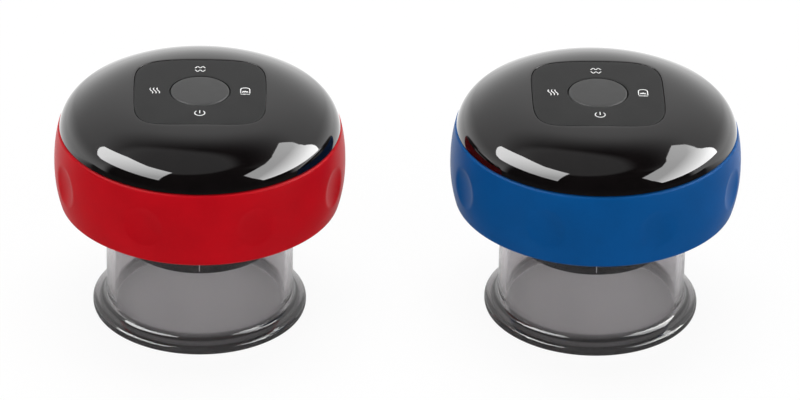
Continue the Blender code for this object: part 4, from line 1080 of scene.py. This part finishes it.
def seal_mesh(cup):
    """The soft lip seal, with its lip rounded."""
    low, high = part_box("red_cup_seal")
    outer = (high.x - low.x) / 2
    inner = cup.hub_radius + GAP
    middle = (low.z + high.z) / 2
    profile = [(outer - SEAL_LIP, high.z)]
    profile += [(outer - back, middle + up) for back, up in ((0.0001, 0.0004), (0.0, 0.0), (0.0001, -0.0004))]
    profile += [(outer - SEAL_LIP, low.z), (inner, low.z), (inner, high.z)]
    return turned("seal", rounded(profile, {0: 0.0002, 4: 0.0002}), closed=True)


def plate_mesh(cup):
    """The warming plate with its air hole and the six holes that the lamps shine through."""
    low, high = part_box("red_heat_plate")
    radius = (high.x - low.x) / 2
    edge = PLATE_EDGE
    disc = turned("plate", [
        (0, low.z), (radius - edge, low.z), (radius, low.z + edge), (radius, high.z), (0, high.z),
    ], PLATE_STEPS)
    start, end = low.z - CUT_PAST, high.z + CUT_PAST
    holes = [rod_mesh(AIR_HOLE, start, end, HOLE_STEPS)]
    lamp_ring = cup.hub_radius - HUB_WALL - SHELF_REACH - LAMP_INSET
    for step in range(6):
        holes.append(rod_mesh(LAMP_HOLE, start, end, HOLE_STEPS, polar(lamp_ring, math.tau * step / 6)[:2]))
    return combine(disc, holes, "DIFFERENCE")


def screw_mesh(place):
    """A small pan-head screw, seen from below, with its cross recess."""
    under = BASE_LOW
    body = turned("screw", [
        (SCREW_HEAD * out, under - SCREW_TALL * down)
        for out, down in ((0, 1), (0.55, 0.97), (0.85, 0.75), (1, 0.35))
    ] + [(SCREW_HEAD, under + SCREW_SINK), (0, under + SCREW_SINK)], SCREW_STEPS, middle=place)
    cuts = []
    seat = Matrix.Translation((*place, under - SCREW_TALL))
    for wide, deep in ((CROSS_LONG, CROSS_WIDE), (CROSS_WIDE, CROSS_LONG)):
        shape = bmesh.new()
        bmesh.ops.create_cube(shape, size=1, matrix=seat @ Matrix.Diagonal((wide, deep, CROSS_DEEP, 1)))
        mesh = bpy.data.meshes.new("cross")
        shape.to_mesh(mesh)
        shape.free()
        cuts.append(mesh)
    return combine(body, cuts, "DIFFERENCE")


# Operators, one for each piece or group of like pieces

class CUPS_OT_grip_rings(bpy.types.Operator):
    """Build the two coloured grip rings with their finger dimples"""

    bl_idname = "cups.grip_rings"
    bl_label = "Grip rings"

    def execute(self, context):
        for side in SIDES:
            mesh = combine(ring_mesh(context.scene.cup_grip), [port_slot()], "DIFFERENCE")
            set_piece(side, "grip_barrel", mesh, side + "_grip", side + "_head", "grip_ring", GRIP_CREASE_DEG)
        return {"FINISHED"}


class CUPS_OT_domes(bpy.types.Operator):
    """Build the two glossy domes"""

    bl_idname = "cups.domes"
    bl_label = "Domes"

    def execute(self, context):
        scene = context.scene
        for side in SIDES:
            mesh = dome_mesh(scene.cup_dome, scene.cup_grip, scene.cup_pad, DomeLine(scene))
            set_piece(side, "gloss_dome", mesh, "gloss_dome", side + "_head", "dome_cover")
        return {"FINISHED"}


class CUPS_OT_key_pads(bpy.types.Operator):
    """Build the two soft key pads with their printed symbols"""

    bl_idname = "cups.key_pads"
    bl_label = "Key pads"

    def execute(self, context):
        pad = context.scene.cup_pad
        line = DomeLine(context.scene)
        for side in SIDES:
            set_piece(side, "soft_pad", pad_mesh(pad, line), "pad_silicone", side + "_head", "key_pad")
            for name in KEY_SIDES:
                mesh = merged(name, symbol_strokes(name, pad, line))
                set_piece(side, name + "_symbol", mesh, "printed_white", side + "_head")
        return {"FINISHED"}


class CUPS_OT_buttons(bpy.types.Operator):
    """Build the two centre buttons"""

    bl_idname = "cups.buttons"
    bl_label = "Centre buttons"

    def execute(self, context):
        for side in SIDES:
            mesh = button_mesh(context.scene.cup_pad)
            set_piece(side, "round_button", mesh, "button_grey", side + "_button", "centre_button")
        return {"FINISHED"}


class CUPS_OT_clear_cups(bpy.types.Operator):
    """Build the two clear cups"""

    bl_idname = "cups.clear_cups"
    bl_label = "Clear cups"

    def execute(self, context):
        for side in SIDES:
            set_piece(side, "clear_cup", cup_mesh(context.scene.cup_cup), "clear_cup", "cups", "cup")
        return {"FINISHED"}


class CUPS_OT_hubs(bpy.types.Operator):
    """Build the black lower housings, their index marks, seals, warming plates and screws"""

    bl_idname = "cups.hubs"
    bl_label = "Lower housings"

    def execute(self, context):
        cup = context.scene.cup_cup
        half = math.degrees(cup.mark_width / 2 / cup.hub_radius)
        low, high = (HUB_LOW + height for height in MARK_SPAN)
        for side in SIDES:
            head = side + "_head"
            housing = hub_mesh(cup, context.scene.cup_grip)
            set_piece(side, "lower_housing", housing, "black_housing", head, "base_plate")
            mark = arc_block(
                "mark", cup.hub_radius - MARK_SINK, cup.hub_radius + MARK_PROUD, low, high,
                -90 - half, -90 + half, 3,
            )
            set_piece(side, "index_mark", mark, "printed_white", head)
            set_piece(side, "lip_seal", seal_mesh(cup), "silicone", side + "_seal", "cup_seal")
            set_piece(side, "warming_plate", plate_mesh(cup), "aluminium_plate", head, "heat_plate")
            for number, angle in enumerate(SCREW_ANGLES, 1):
                screw = screw_mesh(polar(SCREW_RING, math.radians(angle))[:2])
                set_piece(side, f"case_screw_{number}", screw, "steel", head)
        return {"FINISHED"}


class CUPS_OT_inner_parts(bpy.types.Operator):
    """Give every packed node that still shows its own finish"""

    bl_idname = "cups.inner_parts"
    bl_label = "Inner parts"

    def execute(self, context):
        for name, node in frame["nodes"].items():
            node.data.materials.clear()
            node.data.materials.append(finish_named(RECORD_SLOTS[name]))
        return {"FINISHED"}


# The stage

FLOOR_RADIUS = 4.0
FLOOR_DROP = 0.00005
FLOOR_EDGES = 64
FLOOR_SHADE = 0.985

# How white the floor is to the camera and through the cups, and how its mirrored glow grows backwards
FLOOR_WHITE = 0.93
THROUGH_WHITE = 0.16
FLOOR_GLOW = (0.08, 1.6, -0.02, 0.10)

# What gloss mirrors: each fade goes between two strengths over a span, of the direction's depth or height or
# of the distance from the patch overhead
BEHIND_FADE = (0.0, 1.0, -0.28, -0.13)
WALL_FADE = (0.91, 0.0, 0.70, 0.94)
HORIZON_FADE = (0.80, 0.0, 0.0, 0.5)
PATCH_FADE = (0.46, 0.0, 0.40, 0.51)
PATCH_PLACE = (-0.20, -0.035, 0.98)
ROOM_LIGHT = 0.03
DIFFUSE_LIGHT = 0.30

# Lamps: name, place, target, size, the setting of their power and their share of it
LAMP_ROWS = (
    ("overhead_lamp", (0.0, 0.30, 1.55), (0.0, 0.0, 0.0), (1.2, 0.8), "top_power", 1.0),
    ("left_lamp", (-1.65, -0.95, 0.75), (0.0, 0.0, 0.04), (0.9, 0.7), "side_power", 0.92),
    ("right_lamp", (1.65, -0.95, 0.75), (0.0, 0.0, 0.04), (0.9, 0.7), "side_power", 1.14),
)

# Each panel's outline on a far plane, and how its brightness runs over it
PANEL_LIFT = 0.06
LEFT_PLANE = 9.0
LEFT_OUTLINE = (
    (-0.96, 0.49), (-0.77, 0.52), (-0.66, 0.38), (-0.56, 0.23), (-0.50, -0.15), (-0.31, -0.45),
    (-1.07, -1.56), (-1.49, -1.01), (-2.00, -0.33), (-2.18, 0.02), (-1.93, 0.24), (-1.44, 0.37),
)
RIGHT_PLANE = 6.6
RIGHT_OUTLINE = (
    (1.18, 2.06), (0.97, 1.56), (0.54, 0.92), (0.35, 0.15), (-0.82, 0.25),
    (-1.03, 0.74), (-1.15, 1.36), (-0.14, 1.53), (0.55, 1.95),
)
PANEL_ROWS = (
    ("left_panel", (0.0, 0.111, 0.0), (-1.0, 0.1), (0.75, 1.50), [
        (LEFT_PLANE * x, LEFT_PLANE * y, LEFT_PLANE) for x, y in LEFT_OUTLINE
    ]),
    ("right_panel", (0.0, 0.112, -0.219), (-1.53, -0.43), (0.80, 1.90), [
        (RIGHT_PLANE, RIGHT_PLANE * y, RIGHT_PLANE * z) for y, z in RIGHT_OUTLINE
    ]),
)

# The camera, as fitted to the photograph: degrees, metres and pixels
CAMERA_TURNS = (-1.810, 30.072, 1.133)
CAMERA_TARGET = (0.000927, 0.0, 0.037257)
SENSOR_WIDTH = 36.0
FOCAL_PIXELS = 6297.3
IMAGE_WIDTH = 800
FITTED_DISTANCE = 2.0
CLIP_END = 20.0


def flat_mesh(name, corners, material):
    """A mesh of one many-sided face."""
    mesh = bpy.data.meshes.new(name)
    mesh.from_pydata(corners, [], [range(len(corners))])
    mesh.materials.append(material)
    return mesh


def staged(name, data):
    """A new object in the scene."""
    thing = bpy.data.objects.new(name, data)
    bpy.context.scene.collection.objects.link(thing)
    return thing


class CUPS_OT_stage(bpy.types.Operator):
    """Build the floor, the lamps, the surroundings and the camera"""

    bl_idname = "cups.stage"
    bl_label = "Stage"

    def execute(self, context):
        studio = context.scene.cup_studio
        build_floor(studio)
        build_surroundings(context.scene)
        build_lamps(studio)
        build_panels(studio)
        build_camera(context.scene, studio)
        context.scene.view_settings.view_transform = "Standard"
        return {"FINISHED"}


def build_floor(studio):
    """A plain pale floor: keeps the shadow, blends into the white background, hides nothing from below."""
    bench = Finish("pale_floor", Roughness=0.9, Specular_IOR_Level=0.0)
    cloud = bench.add("TexNoise", Vector=bench.place, Scale=6.0).outputs["Fac"]
    bench.tint(bench.blend(cloud, tuple(studio.floor_colour), shade(studio.floor_colour, FLOOR_SHADE)))
    rays = bench.add("LightPath").outputs
    through = bench.maths("MULTIPLY", rays["Is Transmission Ray"], THROUGH_WHITE)
    white = bench.maths("MULTIPLY_ADD", rays["Is Camera Ray"], FLOOR_WHITE, through)
    seen = bench.mixed(white, bench.shader.outputs[0], bench.add("Emission").outputs[0])
    depth = bench.add("SeparateXYZ", Vector=bench.place).outputs["Y"]
    mirrored = bench.add("Emission", Strength=bench.ranged(depth, *FLOOR_GLOW))
    glossy = bench.maths("SUBTRACT", rays["Is Glossy Ray"], rays["Is Transmission Ray"])
    whole = bench.mixed(bench.maths("MAXIMUM", glossy, 0.0), seen, mirrored.outputs[0])
    below = bench.add("NewGeometry").outputs["Backfacing"]
    one_sided = bench.mixed(below, whole, bench.add("BsdfTransparent").outputs[0])
    bench.feed(bench.tree.nodes["Material Output"].inputs["Surface"], one_sided)
    rim = circle(FLOOR_RADIUS, -FLOOR_DROP, FLOOR_EDGES)
    floor = staged("floor", flat_mesh("floor", rim, bench.material))


def build_surroundings(scene):
    """Plain light all round; gloss sees a white wall behind, a patch overhead and a dim room in front."""
    world = bpy.data.worlds.new("studio")
    scene.world = world
    world.use_nodes = True
    bench = NodeBench(world.node_tree)
    bench.tree.nodes.clear()
    direction = bench.add("TexCoord").outputs["Generated"]
    parts = bench.add("SeparateXYZ", Vector=direction).outputs
    behind = bench.ranged(parts["Y"], *BEHIND_FADE, True)
    wall = bench.ranged(parts["Z"], *WALL_FADE, True)
    horizon = bench.ranged(parts["Z"], *HORIZON_FADE, True)
    away = bench.vector("DISTANCE", direction, PATCH_PLACE)["Value"]
    patch = bench.ranged(away, *PATCH_FADE, True)
    lit = bench.maths("MULTIPLY", behind, bench.maths("ADD", wall, horizon))
    room = bench.maths("ADD", bench.maths("ADD", lit, patch), ROOM_LIGHT)
    glossy, diffuse, plain = (
        bench.add("Background", Color=WHITE, Strength=power).outputs[0]
        for power in (room, DIFFUSE_LIGHT, 1.0)
    )
    rays = bench.add("LightPath").outputs
    seen = bench.maths("MAXIMUM", rays["Is Camera Ray"], rays["Is Transmission Ray"])
    light = bench.mixed(seen, bench.mixed(rays["Is Glossy Ray"], diffuse, glossy), plain)
    bench.add("OutputWorld", Surface=light)


def build_lamps(studio):
    """Soft lamps that light the matte surfaces."""
    for name, place, target, (wide, tall), setting, share in LAMP_ROWS:
        lamp = bpy.data.lights.new(name, "AREA")
        lamp.shape = "RECTANGLE"
        lamp.size = wide
        lamp.size_y = tall
        lamp.energy = share * getattr(studio, setting)
        holder = staged(name, lamp)
        holder.location = place
        holder.rotation_mode = "QUATERNION"
        holder.rotation_quaternion = (Vector(target) - Vector(place)).to_track_quat("-Z", "Y")
        holder.visible_glossy = False
        holder.visible_transmission = False


def build_panels(studio):
    """Two white panels, brighter towards one end, that only the glossy surfaces mirror."""
    for name, slope, span, shares, corners in PANEL_ROWS:
        power = getattr(studio, name)
        material = bpy.data.materials.new(name)
        material.use_nodes = True
        bench = NodeBench(material.node_tree)
        bench.tree.nodes.clear()
        run = bench.vector("DOT_PRODUCT", bench.add("TexCoord").outputs["Object"], slope)["Value"]
        start, end = (power * share for share in shares)
        glow = bench.add("Emission", Strength=bench.ranged(run, start, end, *span))
        bench.add("OutputMaterial", Surface=glow.outputs[0])
        panel = staged(name, flat_mesh(name, corners, material))
        panel.location = (0, 0, PANEL_LIFT)
        panel.visible_camera = False
        panel.visible_diffuse = False
        panel.visible_transmission = False
        panel.visible_shadow = False


def build_camera(scene, studio):
    """The photograph's viewing angle: 30 degrees above the table, a little from the left, a long lens."""
    side, rise, roll = (math.radians(value) for value in CAMERA_TURNS)
    back = Vector((math.sin(side) * math.cos(rise), -math.cos(side) * math.cos(rise), math.sin(rise)))
    right = Vector((math.cos(side), math.sin(side), 0.0))
    up = back.cross(right)
    across = right * math.cos(roll) + up * math.sin(roll)
    upright = up * math.cos(roll) - right * math.sin(roll)
    lens = bpy.data.cameras.new("camera")
    lens.sensor_width = SENSOR_WIDTH
    lens.lens = SENSOR_WIDTH * FOCAL_PIXELS / IMAGE_WIDTH * studio.distance / FITTED_DISTANCE
    lens.clip_end = CLIP_END
    camera = staged("camera", lens)
    turn = Matrix((across, upright, back)).transposed().to_4x4()
    camera.matrix_world = Matrix.Translation(Vector(CAMERA_TARGET) + back * studio.distance) @ turn
    scene.camera = camera


class CUPS_PT_panel(bpy.types.Panel):
    """Lists the pieces and their sizes"""

    bl_idname = "CUPS_PT_panel"
    bl_label = "Massage cup set"
    bl_space_type = "VIEW_3D"
    bl_region_type = "UI"
    bl_category = "Cup set"

    def draw(self, context):
        layout = self.layout
        for operator in OPERATORS:
            layout.operator(operator.bl_idname)
        for name in GROUPS:
            group = getattr(context.scene, name)
            box = layout.box()
            box.label(text=GROUPS[name].__doc__)
            for key in GROUPS[name].__annotations__:
                box.prop(group, key)


GROUPS = {
    "cup_grip": GripSizes,
    "cup_dome": DomeSizes,
    "cup_pad": PadSizes,
    "cup_cup": CupSizes,
    "cup_finishes": Finishes,
    "cup_studio": StudioSettings,
}
OPERATORS = (
    CUPS_OT_stage, CUPS_OT_inner_parts, CUPS_OT_grip_rings, CUPS_OT_domes, CUPS_OT_key_pads, CUPS_OT_buttons,
    CUPS_OT_clear_cups, CUPS_OT_hubs,
)


def register():
    """Registers the sizes, the operators and the panel."""
    for name, group in GROUPS.items():
        bpy.utils.register_class(group)
        setattr(bpy.types.Scene, name, PointerProperty(type=group))
    for operator in OPERATORS:
        bpy.utils.register_class(operator)
    bpy.utils.register_class(CUPS_PT_panel)


def unregister():
    """Takes them all out again."""
    bpy.utils.unregister_class(CUPS_PT_panel)
    for operator in reversed(OPERATORS):
        bpy.utils.unregister_class(operator)
    for name in reversed(GROUPS):
        delattr(bpy.types.Scene, name)
        bpy.utils.unregister_class(GROUPS[name])


def main():
    register()
    bpy.ops.cups.stage()
    bpy.ops.cups.inner_parts()
    bpy.ops.cups.grip_rings()
    bpy.ops.cups.domes()
    bpy.ops.cups.key_pads()
    bpy.ops.cups.buttons()
    bpy.ops.cups.clear_cups()
    bpy.ops.cups.hubs()


if __name__ == "__main__":
    main()
